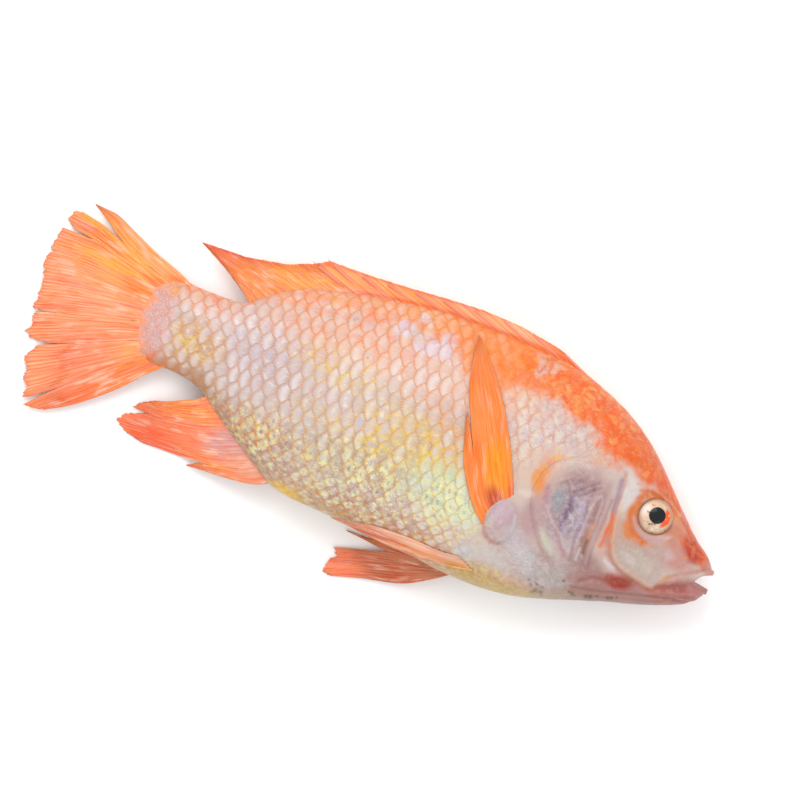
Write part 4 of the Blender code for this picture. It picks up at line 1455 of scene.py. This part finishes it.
        def place(column: Array, row: Array) -> Placed:
            """Places the trunk's vertices."""
            seam = self.seam[row.astype(int)]
            turn = self.turns[row.astype(int)]
            flap = self.flap(FORM.around(seam, turn))
            end = seam + self.tuck * flap
            x = self.tail_end + (end - self.tail_end) * column / self.trunk_columns
            return self.place(x, row, cover, 0.3 * ease((x - seam) / 2 + 0.6) * flap)

        sheet = Sheet("trunk_skin", self.trunk_columns, len(self.turns) - 1)
        return finished(sheet.build(place), self.finish)

    def head(self) -> bpy.types.Object:
        """The head's skin, from the gill cover's edge to the lips."""

        def cover(x: Array, y: Array) -> Array:
            """The gill cover's rise, at its full height to the edge where it is a flap."""
            return FORM.gill_cover(x, y, self.flap(y))

        def spots(column: Array, row: Array) -> tuple[Array, Array, Array]:
            """Side view places of the vertices, and how far each is from the seam."""
            seam = self.seam[row.astype(int)]
            x = seam + (self.snout - seam) * column / self.head_columns
            return x, FORM.around(x, self.turns[row.astype(int)]), x - seam

        def place(column: Array, row: Array) -> Placed:
            """Places the head's vertices, curled in at the gill cover's edge."""
            x, y, from_seam = spots(column, row)
            curl = 1.5 * (1 - np.clip(from_seam / 3.6, 0, 1)) ** 2
            return self.place(x, row, cover, curl * self.flap(y))

        def gone(column: Array, row: Array) -> Array:
            """Which vertices are between the jaws."""
            x, y, _ = spots(column, row)
            return self.in_gape(x, y)

        sheet = Sheet("head_skin", self.head_columns, len(self.turns) - 1)
        return finished(sheet.build(place, gone), self.finish)


@dataclass(frozen=True)
class Lobe:
    """Part of a fin between two ribs that run from its base to its free edge.

    Args:
        first: Points of the first rib.
        last: Points of the last rib.
        edge: Points of the free edge between the ribs' ends.
        rays: How many rays it has.
        spiny: Whether its rays are unforked spines.
    """

    first: Points
    last: Points
    edge: Points = ()
    rays: float = 2
    spiny: bool = False

    @staticmethod
    def along(points: Points, share: Array) -> Array:
        """Places along a rib, its points evenly spaced in share."""
        return np.stack([curve(share) for curve in curves_through(points)], axis=-1)

    def free_edge(self, across: Array) -> Array:
        """Places along the free edge, by its length."""
        points = np.array((self.first[-1], *self.edge, self.last[-1]), float)
        travelled = running(np.hypot(*np.diff(points, axis=0).T))
        share = across * travelled[-1]
        return np.stack([np.interp(share, travelled, points[:, i]) for i in range(2)], axis=-1)

    def point(self, across: Array, out: Array) -> Array:
        """Places on the lobe.

        Args:
            across: Share of the way from the first rib to the last.
            out: Share of the way out from the base.

        Returns:
            Points of the side view.
        """
        w = across[:, None]
        spread = (1 - w) * self.along(self.first, out) + w * self.along(self.last, out)
        ones = np.ones_like(out)
        straight = (1 - w) * self.along(self.first, ones) + w * self.along(self.last, ones)
        return spread + (out**4)[:, None] * (self.free_edge(across) - straight)


@dataclass
class Fin:
    """A fin: lobes of thin sheet, raised in rays that fork on their way out.

    Args:
        name: The piece's name.
        lobes: Its lobes, neighbours sharing a rib.
        height: Height over the floor from x, y and the share of the way out.
        tone: Linear colours from x, y and the share of the way out.
        finish: Its finish.
        rows: How many cells there are from base to edge.
        fray: How far the ray tips wander in or out.
        thickness: Thickness of the membrane at its free edge.
        root: Its thickness at the base.
        ridge: How far the rays stand out.
        cells_per_ray: Cells across one ray.
        gold: Soft ovals of yellow streaks, by middle, radii and strength.
        seed: Seed of the ray tips.
        tips: How many different ray tips there are.
        levels: Steps in which the thickness falls.
        margin: How far it stays inside the solids' box.
    """

    name: str
    lobes: tuple[Lobe, ...]
    height: Callable[[Array, Array, Array], Array]
    tone: Callable[[Array, Array, Array], Array]
    finish: Finish
    rows: int = 56
    fray: float = 0.8
    thickness: float = 0.5
    root: float = 1.2
    ridge: float = 0.16
    cells_per_ray: int = 20
    gold: Points = ()
    seed: int = 5
    tips: int = 400
    levels: int = 24
    margin: tuple[float, float, float] = (0.18, 0.28, 0.4)

    def ridges(self, ray: Array, out: Array) -> Array:
        """The rays' relief: one ridge for each ray, then two, then four."""
        beats = [np.cos(2 * math.pi * ray * forks) for forks in (1, 2, 4)]
        once = beats[0] + (beats[1] - beats[0]) * ease((out - 0.15) / 0.35)
        return once + (beats[2] - once) * ease((out - 0.45) / 0.4)

    def build(self) -> bpy.types.Object:
        """Makes the fin, one joined piece of all its lobes."""
        whole = bmesh.new()
        before = 0.0
        for lobe in self.lobes:
            mesh = self.sheet(lobe, before)
            whole.from_mesh(mesh)
            bpy.data.meshes.remove(mesh)
            before += lobe.rays
        bmesh.ops.remove_doubles(whole, verts=whole.verts, dist=WELD_GAP * MM)
        bmesh.ops.recalc_face_normals(whole, faces=whole.faces)
        piece = finished(mesh_from(whole, self.name), self.finish)
        self.thicken(piece)
        return piece

    def thicken(self, piece: bpy.types.Object) -> None:
        """Gives the fin a thickness that falls from its base to its free edge.

        Args:
            piece: The fin, whose map holds the share of the way out.
        """
        guide = np.empty(len(piece.data.vertices) * 3, np.float32)
        piece.data.attributes["fin_map"].data.foreach_get("vector", guide)
        level = np.rint(np.clip(guide.reshape(-1, 3)[:, 1], 0, 1) * self.levels).astype(int)
        group = piece.vertex_groups.new(name="thickness")
        for step in range(self.levels + 1):
            chosen = np.nonzero(level == step)[0].tolist()
            if chosen:
                group.add(chosen, float((1 - step / self.levels) ** 2.5), "REPLACE")
        solid = piece.modifiers.new("thickness", "SOLIDIFY")
        solid.thickness = self.root * MM
        solid.thickness_vertex_group = self.thickness / self.root
        solid.vertex_group = group.name
        solid.offset = 0

    def sheet(self, lobe: Lobe, before: float) -> bpy.types.Mesh:
        """Makes one lobe.

        Args:
            lobe: The lobe.
            before: How many rays come before it.

        Returns:
            Its mesh.
        """
        columns = max(4, round(lobe.rays * self.cells_per_ray))
        pointed = lobe.first[-1] == lobe.last[-1]
        tips = np.random.default_rng(self.seed).uniform(-1, 0.5, self.tips)

        def place(column: Array, row: Array) -> Placed:
            """Places the lobe's vertices."""
            across, out = column / columns, row / self.rows
            ray = before + across * lobe.rays
            flat = lobe.point(across, out)
            inward = lobe.point(across, out - 0.05)
            heading = (flat - inward) / np.maximum(np.hypot(*(flat - inward).T), 1e-6)[:, None]
            tip = tips[np.floor(ray * 4).astype(int) % self.tips]
            notch = np.cos(2 * math.pi * ray * 4) * 0.25
            inner = ease(np.minimum(across, 1 - across) * columns / 4)
            fray = self.fray * (tip - notch) * ease((out - 0.86) / 0.14) * inner
            fray = fray * (0 if pointed else 1)
            flat = flat + heading * fray[:, None]
            x, y = flat.T
            forked = out * 0.12 if lobe.spiny else out
            ridge = self.ridge * self.ridges(ray, forked) * ease(4 * out) * ease((1 - out) * 8 + 0.3)
            ridge = ridge * (1 - out**6 if pointed else 1) * (0.35 if lobe.spiny else 1) * inner
            z = self.height(x, y, out) + ridge
            gold = COLOURS.zone(x, y, self.gold) if self.gold else np.zeros_like(out)
            guide = np.stack([ray, forked, gold], axis=1)
            return in_metres(x, y, z), {
                "fin_tone": ("FLOAT_COLOR", self.tone(x, y, out)), "fin_map": ("FLOAT_VECTOR", guide)
            }

        return Sheet(self.name, columns, self.rows, self.margin).build(place)


@dataclass(frozen=True)
class Coat:
    """A fin's colour: a base with soft patches laid over it.

    Args:
        base: The colour underneath.
        patches: The patches, in order.
        gain: How many times brighter it is than plain paint.
    """

    base: Colour
    patches: tuple[Patch, ...] = ()
    gain: float = 1.0

    def __call__(self, x: Array, y: Array, out: Array | None = None) -> Array:
        """The colour at points of the side view.

        Args:
            x, y: Place in the side view.
            out: Share of the way out, which makes no difference here.

        Returns:
            Linear colours.
        """
        tone = np.broadcast_to(linear(self.base), (*np.shape(x), 3))
        for patch in self.patches:
            tone = laid_over(tone, linear(patch.tint), patch.strength * patch.profile(x, y))
        return self.gain * tone * FIN_PAINT


@dataclass
class Fins:
    """All seven fins, and the dorsal fin's spines.

    Args:
        finish: The finish of most fins.
        calm_finish: The finish of the pectoral fins.
        spine_run: How far a spine's base is ahead of its point.
        spine_depth: How deep its base is under the back.
    """

    finish: Finish
    calm_finish: Finish
    spine_run: float = 22.5
    spine_depth: float = 1.6

    def tail(self) -> Fin:
        """The tail fin: a fan torn in three places, its free edge ragged."""
        top = ((-88, 31), (-98, 35.6), (-110, 39.9), (-122, 45.2), (-133, 49.6), (-142, 50.3))
        stem_1 = ((-88, 27.5), (-100, 30.4), (-112, 34.2), (-123.5, 38.6))
        stem_2 = ((-88, 24.5), (-100, 27), (-112, 30), (-125, 33.3), (-137, 36.1))
        stem_3 = ((-88, 15), (-100, 12.9), (-112, 10.2), (-125, 6.8), (-137, 3.5))
        stem_4 = ((-88, 9), (-99, 5.8), (-110, 1.8), (-122, -3.6), (-131, -7.4))
        stem_5 = ((-88, 4), (-98, -1.5), (-108, -8.6), (-119, -17.5), (-129, -26.2))
        bottom = ((-88, -0.5), (-95, -6), (-104, -16), (-114, -25.2), (-123, -32), (-131.5, -36.9))
        lobes = (
            Lobe(top, (*stem_1, (-133, 44.6), (-142, 50.3)), rays=2),
            Lobe(
                (*stem_1, (-135, 43.1), (-145.5, 45.3)), (*stem_2, (-146.3, 37.6)),
                ((-148.8, 44.3), (-150.4, 40.8)), 2,
            ),
            Lobe(
                (*stem_2, (-151, 36.3)), (*stem_3, (-146.5, 1)),
                ((-152.6, 28.5), (-151.9, 25.5), (-153.4, 21.2), (-151.2, 14), (-150.4, 5), (-151.2, 1.2)),
                7,
            ),
            Lobe(
                (*stem_3, (-148.7, 0.1)), (*stem_4, (-139.5, -10.4)),
                ((-149.8, -2.4), (-148.7, -5.2), (-150.2, -9.2), (-147, -11.1)), 3,
            ),
            Lobe(
                (*stem_4, (-143.5, -12.8)), (*stem_5, (-138.3, -33.4)),
                ((-146.8, -19.2), (-143.9, -24.6), (-144.7, -27.4), (-141.2, -30), (-142, -35.4)), 4,
            ),
            Lobe((*stem_5, (-140.4, -38)), bottom, ((-134, -37.3),), 2),
        )

        def height(x: Array, y: Array, out: Array) -> Array:
            """Sinks from the stump to just over the floor, with a slight wave."""
            return np.maximum(FORM.middle_height(x) + 0.5 * out * np.sin(y / 7), 0.9)

        def tone(x: Array, y: Array, out: Array) -> Array:
            """Orange, yellower above, redder below and at the free edge."""
            base = Coat((255, 166, 118), (
                Patch((-128, 36), (32, 15), (255, 172, 92), 0.9, 160),
                Patch((-132, 14), (26, 12), (255, 176, 136), 0.75),
                Patch((-126, -4), (26, 12), (255, 164, 124), 0.8, 20),
                Patch((-122, -16), (26, 16), (254, 152, 114), 0.85, 40),
                Patch((-108, -14), (26, 8), (250, 134, 70), 0.85, 42),
                Patch((-106, 25), (20, 9), (250, 140, 74), 0.85),
                Patch((-122, -30), (22, 8), (246, 126, 80), 0.85, 40),
                Patch((-97, 32.5), (9, 4), (248, 138, 74), 0.9),
                Patch((-96, -3), (10, 5), (246, 140, 74), 0.9),
            ))(x, y)
            root = COLOURS.root_share(x, y) * ease((17 - abs(y - 14)) / 6)
            base = laid_over(base, linear((236, 178, 168)) * PAINT, root)
            return laid_over(base, linear((244, 124, 92)) * FIN_PAINT, ease((out - 0.95) / 0.05) * 0.4)

        return Fin(
            "tail_fin", lobes, height, tone, self.finish, rows=70, fray=0.75, root=4.4, ridge=0.2,
            gold=(
                (-122, 32, 34, 18, 1), (-140, 44, 18, 12, 1), (-104, -2, 20, 10, 0.5),
                (-128, 20, 20, 10, 0.4),
            ),
        )

    def dorsal(self) -> Fin:
        """The dorsal fin: spines laid back along the front, soft rays drawn out to a point."""
        ribs = (
            ((80, 52.5), (75.5, 55.4)), ((75, 55.0), (57, 62.8)), ((61, 57.6), (41, 65.4)),
            ((45, 58.2), (24, 66.2)), ((28, 58.2), (7, 65.2)), ((11, 57.2), (-10, 63.8)),
            ((-4, 55.2), (-25, 62.9)), ((-15, 53), (-42.5, 62.6)), ((-22, 51.6), (-47.5, 59.6)),
            ((-34, 48.6), (-59, 55)), ((-47, 44.5), (-76, 51.8)), ((-55, 39.5), (-95, 51.2)),
            ((-60, 35), (-83, 45.1)), ((-64, 31), (-69.5, 36.8)),
        )
        rays = (1, 2, 2, 2, 2, 2, 2, 1, 2, 2, 3, 3, 3)
        lobes = tuple(
            Lobe(a, b, rays=n, spiny=k < 8) for k, (a, b, n) in enumerate(zip(ribs, ribs[1:], rays))
        )

        def height(x: Array, y: Array, out: Array) -> Array:
            """Stands in the body's middle plane."""
            return FORM.middle_height(x) + 0 * out

        def tone(x: Array, y: Array, out: Array) -> Array:
            """Orange, with yellow between the spines and a redder tip and edge."""
            base = Coat((255, 162, 98), (
                Patch((-85, 48), (18, 6), (260, 152, 104), 0.95, 20),
                Patch((-62, 46), (20, 9), (255, 166, 100), 0.85),
                Patch((-42, 57), (12, 5), (255, 174, 98), 0.8, 20),
                Patch((-20, 61), (18, 3), (254, 176, 118), 0.8),
                Patch((28, 64), (42, 4), (255, 176, 130), 0.9),
                Patch((-30, 52), (26, 5), (251, 172, 148), 0.9, 14),
                Patch((64, 60), (16, 4), (252, 142, 74), 0.9, -20),
            ))(x, y)
            under = ease(1 - abs(y - FORM.back(x) - 0.6) / 1.3) * ease((x + 34) / 12) * 0.6
            base = laid_over(base, linear((232, 88, 52)) * FIN_PAINT, under)
            return laid_over(base, linear((236, 104, 72)) * FIN_PAINT, ease((out - 0.8) / 0.16) * 0.7)

        return Fin(
            "dorsal_fin", lobes, height, tone, self.finish, rows=30, fray=0.4, thickness=0.36, ridge=0.26,
            cells_per_ray=16, gold=((-50, 52, 26, 9, 1), (-10, 62, 30, 4, 0.6), (40, 65, 30, 4, 0.5)),
        )

    def spines(self) -> bpy.types.Object:
        """The dorsal fin's spines, folded back along it, their points just clear of its edge."""
        tips = (
            (58, 62.6), (43.5, 65.0), (30, 66.0), (17, 65.7), (4, 64.7), (-8, 63.8), (-20, 62.9),
            (-31, 62.4), (-43.8, 63.0), (-49.2, 59.9),
        )
        bm = bmesh.new()
        for tip_x, tip_y in tips:
            base_x = tip_x + self.spine_run
            base_y = float(FORM.back(base_x)) - self.spine_depth
            run, rise = base_x - tip_x, base_y - tip_y
            length = math.hypot(run, rise)
            lean = math.atan2(rise, run)
            turn = mathutils.Matrix.Rotation(lean, 4, "Z") @ mathutils.Matrix.Rotation(-math.pi / 2, 4, "Y")
            for start, end, wide, narrow in ((0, 0.86, 0.9, 0.55), (0.86, 1, 0.55, 0.06)):
                made = bmesh.ops.create_cone(
                    bm, cap_ends=True, segments=20, radius1=wide * MM, radius2=narrow * MM,
                    depth=length * (end - start) * MM,
                )
                share = (start + end) / 2
                centre = (base_x - run * share, base_y - rise * share)
                lift = float(FORM.middle_height(centre[0]))
                shift = mathutils.Matrix.Translation([float(v) for v in in_metres(*centre, lift)])
                bmesh.ops.transform(bm, matrix=shift @ turn, verts=made["verts"])
        bmesh.ops.recalc_face_normals(bm, faces=bm.faces)
        mesh = mesh_from(bm, "dorsal_spines")
        zeros = np.zeros(len(mesh.vertices))
        attribute_on(mesh, "fin_tone", "FLOAT_COLOR", Coat((250, 122, 78))(zeros, zeros))
        attribute_on(mesh, "fin_map", "FLOAT_VECTOR", np.stack([zeros + 0.5, zeros, zeros], axis=1))
        return finished(mesh, self.finish)

    def anal(self) -> Fin:
        """The anal fin: a short spiny front lobe and a longer soft one with a tear."""
        front = ((-30, -30), (-40, -34.6), (-52, -36.2), (-61, -36.7), (-68.4, -37.3))
        stem = ((-38, -26), (-49, -31.2), (-59, -33.6))
        tear = ((-55, -15.5), (-67, -19.6), (-79, -22))
        rear = ((-68, -5), (-73, -9.6), (-79, -12.6), (-85, -15.4), (-90, -17.2))
        soft_edge = ((-97, -33.2), (-102, -29.8), (-98.8, -25.8))
        lobes = (
            Lobe(front, (*stem, (-64, -34.9), (-68.4, -37.3)), rays=3),
            Lobe((*stem, (-74, -34.7), (-88, -35.1)), (*tear, (-86, -22.9), (-91, -23)), soft_edge, 6),
            Lobe((*tear, (-86, -22.9), (-97.6, -22.6)), rear, ((-95, -19.8),), 4),
        )

        def height(x: Array, y: Array, out: Array) -> Array:
            """Hangs from the middle plane down to the floor."""
            return np.maximum(FORM.middle_height(x) - 0.33 * np.maximum(FORM.belly(x) - y, 0), 1.0)

        tone = Coat((255, 146, 104), (
            Patch((-88, -31), (20, 6), (254, 116, 76), 0.8),
            Patch((-80, -15), (20, 7), (254, 150, 84), 0.85, 15),
            Patch((-54, -22), (17, 10), (222, 168, 164), 0.95, 20),
            Patch((-44, -29), (15, 7), (240, 172, 146), 0.85),
            Patch((-52, -35), (20, 3), (248, 150, 104), 0.75),
        ))

        return Fin(
            "anal_fin", lobes, height, tone, self.finish, rows=50, fray=0.7, root=1.6,
            gold=((-72, -14, 20, 8, 0.8), (-60, -33, 20, 6, 0.5)),
        )

    def left_pelvic(self) -> Fin:
        """The left pelvic fin, spread out on the floor, with one ray parted from the rest."""
        outer = ((55, -36), (44, -44.4), (32, -51.2), (17, -54.8), (3.7, -58.7))
        stem = ((51, -35.5), (38, -39.9), (24, -41))
        inner = ((48, -34), (36, -37.2), (24, -38.2), (12, -38.4), (3, -38.8))
        lobes = (
            Lobe(
                outer, (*stem, (12, -44), (0.5, -47.2)), ((-0.4, -57.9), (0.2, -53), (3.5, -50.2)), 6
            ),
            Lobe((*stem, (12, -39.8), (3, -38.8)), inner, rays=1),
        )

        def height(x: Array, y: Array, out: Array) -> Array:
            """Runs down from the belly and lies flat towards its tip."""
            return 0.9 + 14.0 * (1 - out) ** 2.2

        # The gain of 1.32 paints this fin lighter than its own colour: painted light against the shade under
        # the belly where it lies.
        tone = Coat((198, 124, 94), (
            Patch((5, -53), (16, 10), (250, 150, 112), 0.9),
            Patch((28, -51), (16, 4), (190, 92, 62), 0.8, 20),
            Patch((42, -40), (14, 5), (168, 114, 90), 0.8),
            Patch((12, -38.6), (16, 2), (206, 134, 82), 0.8),
        ), 1.32)

        return Fin("left_pelvic", lobes, height, tone, self.finish, rows=50, fray=0.9, seed=8)

    def right_pelvic(self) -> Fin:
        """The right pelvic fin, folded along the belly."""
        outer = ((58, -35.5), (46, -37.3), (34, -38.4), (21, -38.2), (8, -36.8), (-5, -35.7))
        inner = ((50, -32), (40, -32.6), (28, -32), (15, -32.4), (5, -34.3), (-5, -35.7))

        def height(x: Array, y: Array, out: Array) -> Array:
            """Lies on the belly's skin and past its lower edge."""
            return FORM.height(x, np.maximum(y, FORM.belly(x) + 2.5), 1) + 0.55

        tone = Coat((218, 172, 146), (
            Patch((28, -33.6), (24, 2.2), (240, 200, 178), 0.9, -2),
            Patch((32, -35.8), (22, 1), (236, 158, 88), 0.8),
            Patch((52, -36), (10, 2.5), (208, 148, 46), 0.9),
            Patch((10, -36.8), (24, 1.3), (200, 108, 86), 0.8, 4),
            Patch((30, -38), (20, 1), (196, 126, 92), 0.7),
        ), 1.12)

        lobes = (Lobe(outer, inner, rays=5),)
        return Fin(
            "right_pelvic", lobes, height, tone, self.finish, rows=60, fray=0.2, root=0.7, ridge=0.28
        )

    def right_pectoral(self) -> Fin:
        """The right pectoral fin, laid up across the flank, with one short ray behind."""
        front = ((64, -5), (58, 8.7), (51.5, 22), (44, 34.5), (35, 46.2), (25.5, 56))
        stem = ((57.5, -14), (49, -6), (42, 7))
        rear = ((57, -18), (49.5, -12), (43, -3.5), (38.2, 5), (34.8, 15), (32.2, 24.8))
        lobes = (
            Lobe(front, (*stem, (34.8, 22), (28.2, 38), (25.5, 56)), rays=7),
            Lobe((*stem, (36.6, 17), (33.9, 21.8), (32.2, 24.8)), rear, rays=2),
        )

        def height(x: Array, y: Array, out: Array) -> Array:
            """Lies on the flank's skin, its base inside the fleshy pad."""
            return FORM.height(x, y, 1) + 0.3 + 0.5 * ease(4 * out) - 1.6 * (1 - ease(8 * out))

        tone = Coat((251, 140, 62), (
            Patch((51, 9), (20, 6), (244, 150, 26), 0.9, 118),
            Patch((44, 6), (20, 4), (250, 130, 58), 0.8, 118),
            Patch((38, 26), (18, 9), (254, 156, 84), 0.8, 118),
            Patch((30, 46), (16, 7), (254, 154, 78), 0.85, 120),
            Patch((55.5, -5), (9, 5), (196, 76, 48), 0.9, 130),
            Patch((62, 1), (6, 4), (226, 92, 36), 0.85, 110),
            Patch((47, -9), (12, 3), (240, 150, 80), 0.75, 130),
        ))

        return Fin(
            "right_pectoral", lobes, height, tone, self.calm_finish, rows=80, fray=0.15, root=0.6, ridge=0.14,
            gold=((50, 8, 10, 16, 0.7),),
        )

    def left_pectoral(self) -> Fin:
        """The left pectoral fin, folded back under the belly."""
        upper = ((63, -5), (50, -9), (36, -14.5), (21, -20.5), (7, -27))
        lower = ((61, -20), (49, -24), (36, -27.5), (21, -29.2), (7, -28))

        def height(x: Array, y: Array, out: Array) -> Array:
            """Lies against the underside of the flank."""
            skin = FORM.height(x, y, -1) - 0.55 * ease(6 * out)
            return np.maximum(skin, 0.45)

        tone = Coat((250, 146, 82), (Patch((45, -16), (20, 8), (246, 156, 50), 0.7),))
        lobes = (Lobe(upper, lower, rays=7),)
        return Fin(
            "left_pectoral", lobes, height, tone, self.calm_finish, rows=50, fray=0.2, root=0.6, ridge=0.12
        )


@dataclass
class Eyes:
    """The two eyeballs."""

    finish: Finish
    turns: int = 96
    bands: int = 48

    def build(self, side: Side) -> bpy.types.Object:
        """Makes one eyeball in its socket.

        Args:
            side: Which flank it looks out of.

        Returns:
            The new object.
        """
        x, y = FORM.eye_centre
        flat = FORM.eye_radius * FORM.eye_flatness
        out = float(FORM.height(x, y, 1) - FORM.middle_height(x)) + FORM.eye_stands_out - flat
        z = float(FORM.middle_height(x)) + side.value * out
        bm = bmesh.new()
        bmesh.ops.create_uvsphere(bm, u_segments=self.turns, v_segments=self.bands, radius=1)
        for v in bm.verts:
            radii = (FORM.eye_radius, FORM.eye_radius, flat)
            local = [c + r * a for c, r, a in zip((x, y, z), radii, v.co)]
            v.co = in_metres(*local)
        name = "eye_right" if side is Side.UPPER else "eye_left"
        return finished(mesh_from(bm, f"{name}_ball"), self.finish, name)


@dataclass
class Mouth:
    """The lips and the lining of the mouth."""

    skin: Finish
    lining: Finish
    middle: tuple[float, float] = (153.0, -5.2)
    upper_lip: Points = (
        (143.9, -7.2), (144.5, -6.0), (145.4, -4.7), (147.4, -3.1), (149.0, -2.4), (150.0, -2.0),
    )
    lower_lip: Points = (
        (143.9, -7.6), (145.4, -7.8), (147.0, -8.0), (148.6, -8.3), (149.8, -8.5), (150.4, -8.7),
    )
    radius: float = 1.25
    steps: int = 96
    turns: int = 24

    def lip(self, name: str, rim: Points) -> bpy.types.Object:
        """Makes a lip: a tube along a jaw's rim, round the snout and back on the other side.

        Args:
            name: The piece's name.
            rim: The rim from the corner of the mouth to the front.

        Returns:
            The new object.
        """
        x, y = np.array(rim, float).T
        away = np.stack([(x - self.middle[0]) * 0.4, y - self.middle[1]])
        x, y = np.stack([x, y]) + 0.75 * away / np.hypot(*away)
        out = np.maximum(FORM.height(x, y, 1) - FORM.middle_height(x) - 0.75, 0.5)
        half = np.stack([x, y, out], axis=1)
        front = half[-1:] * (1, 1, 0)
        path = np.concatenate([half, front, half[::-1] * (1, 1, -1)])
        curves = curves_through(path)

        def place(column: Array, row: Array) -> Placed:
            """Places the lip's vertices."""
            share, turn = column / self.steps, 2 * math.pi * row / self.turns
            here, there = (np.stack([c(share + d) for c in curves], axis=1) for d in (-0.01, 0.01))
            along = there - here
            along /= np.linalg.norm(along, axis=1, keepdims=True)
            across = np.cross(along, (0, 1, 0))
            across /= np.linalg.norm(across, axis=1, keepdims=True)
            up = np.cross(across, along)
            size = self.radius * (0.62 + 0.38 * np.sin(math.pi * share) ** 0.7)
            size = size * (1 + 0.06 * Ripple(51, 1.5)(share * 60, 2 * np.sin(turn)))
            ring = np.cos(turn)[:, None] * across + np.sin(turn)[:, None] * up
            x, y, out = (np.stack([c(share) for c in curves], axis=1) + size[:, None] * ring).T
            values = {**COLOURS.guides(x, y), "scale_map": ("FLOAT_VECTOR", np.zeros((len(x), 3)))}
            return in_metres(x, y, FORM.middle_height(x) + out), values

        return finished(Sheet(name, self.steps, self.turns).build(place), self.skin)

    def hollow(self) -> bpy.types.Object:
        """The mouth's lining: from the upper jaw's rim round the corner to the lower one's."""
        curves = curves_through((*self.upper_lip[::-1], *self.lower_lip))
        columns, rows = 90, 40

        def place(column: Array, row: Array) -> Placed:
            """Places the lining's vertices, from one flank's lip across to the other's."""
            x, y = (curve(column / columns) for curve in curves)
            across = 2 * row / rows - 1
            away = np.stack([x - self.middle[0], y - self.middle[1]])
            away /= np.hypot(*away)
            deep = 0.5 + 6.0 * ease((149.5 - x) / 6) * (1 - across**2)
            x, y = np.stack([x, y]) + away * deep
            out = np.maximum(FORM.height(x, y, 1) - FORM.middle_height(x) - 0.9, 0.3)
            return in_metres(x, y, FORM.middle_height(x) + out * across), {}

        return finished(Sheet("mouth_hollow", columns, rows).build(place), self.lining)


@dataclass
class Studio:
    """A white floor, soft light from the back's side, and the camera looking straight down.

    Args:
        image_size: The picture's width and height, in pixels.
        millimetres_per_pixel: The picture's scale.
        turn: The camera's turn, in degrees.
        fish_pixel: Where the side view's origin is in the picture.
        lens: The camera's focal length.
        focus_height: Height at which the picture's scale holds.
        floor_reach: Half the floor's width, in metres.
        surround: Strength of the white surroundings.
        aim: Where the lamps point, in metres.
        lamps: Each lamp's name, place in metres, width in metres and power.
    """

    image_size: int = 800
    millimetres_per_pixel: float = 300 / 729
    turn: float = 20.9
    fish_pixel: tuple[float, float] = (372.5, 440.0)
    lens: float = 500.0
    focus_height: float = 20.0
    floor_reach: float = 4.0
    surround: float = 1.1
    aim: tuple[float, float, float] = (0.0, 0.0, 0.02)
    lamps: tuple[tuple[str, tuple[float, float, float], float, float], ...] = (
        ("softbox_back", (-0.35, 0.65, 0.95), 0.8, 6.4),
        ("softbox_front", (0.6, -0.5, 0.9), 0.7, 1.2),
    )

    def floor(self) -> None:
        """Lays the floor."""
        bm = bmesh.new()
        bmesh.ops.create_grid(bm, x_segments=1, y_segments=1, size=self.floor_reach)
        mesh = mesh_from(bm, "floor")
        mesh.materials.append(PaleFloor().material)
        floor = bpy.data.objects.new("floor", mesh)
        bpy.context.scene.collection.objects.link(floor)

    def lights(self) -> None:
        """Hangs the lights and sets the white surroundings."""
        world = bpy.data.worlds.new("studio")
        world.use_nodes = True
        background = world.node_tree.nodes["Background"]
        background.inputs["Color"].default_value = (1, 1, 1, 1)
        background.inputs["Strength"].default_value = self.surround
        bpy.context.scene.world = world
        for name, place, size, energy in self.lamps:
            light = bpy.data.lights.new(name, "AREA")
            light.shape = "SQUARE"
            light.size = size
            light.energy = energy
            lamp = bpy.data.objects.new(name, light)
            bpy.context.scene.collection.objects.link(lamp)
            lamp.location = place
            x, y, z = np.array(self.aim) - np.array(place)
            lamp.rotation_euler = (math.atan2(math.hypot(x, y), -z), 0, math.atan2(y, x) - math.pi / 2)

    def camera(self) -> None:
        """Places the camera over the fish, turned as the picture is."""
        data = bpy.data.cameras.new("camera")
        data.lens = self.lens
        data.clip_end = 20
        camera = bpy.data.objects.new("camera", data)
        bpy.context.scene.collection.objects.link(camera)
        bpy.context.scene.camera = camera
        turn = math.radians(self.turn)
        across = (self.image_size / 2 - self.fish_pixel[0]) * self.millimetres_per_pixel
        down = (self.image_size / 2 - self.fish_pixel[1]) * self.millimetres_per_pixel
        x = across * math.cos(turn) + down * math.sin(turn)
        y = across * math.sin(turn) - down * math.cos(turn)
        distance = data.lens / data.sensor_width * self.image_size * self.millimetres_per_pixel
        camera.location = in_metres(x, y, self.focus_height + distance)
        camera.rotation_euler = (0, 0, turn)

    def build(self) -> None:
        """Sets up the whole studio."""
        self.floor()
        self.lights()
        self.camera()
        bpy.context.scene.view_settings.view_transform = "Standard"


def main() -> None:
    """Builds every piece and reports it."""
    logging.basicConfig(level=logging.INFO, format="%(message)s")
    wet_skin, lining = WetSkin(), MouthLining()
    skin = Skin(wet_skin)
    fins = Fins(FinSkin("fin_skin", 1.0), FinSkin("pectoral_skin", 0.5))
    eyes = Eyes(Eyeball())
    mouth = Mouth(wet_skin, lining)
    pieces = [skin.trunk(), skin.head()]
    for fin in (
        fins.tail(), fins.dorsal(), fins.anal(), fins.left_pelvic(), fins.right_pelvic(),
        fins.right_pectoral(), fins.left_pectoral(),
    ):
        pieces.append(fin.build())
    pieces.append(fins.spines())
    pieces.extend(eyes.build(side) for side in Side)
    pieces.append(mouth.lip("upper_lip", mouth.upper_lip))
    pieces.append(mouth.lip("lower_lip", mouth.lower_lip))
    pieces.append(mouth.hollow())
    Studio().build()
    for piece in pieces:
        LOG.info("%s: %d faces", piece.name, len(piece.data.polygons))


if __name__ == "__main__":
    main()
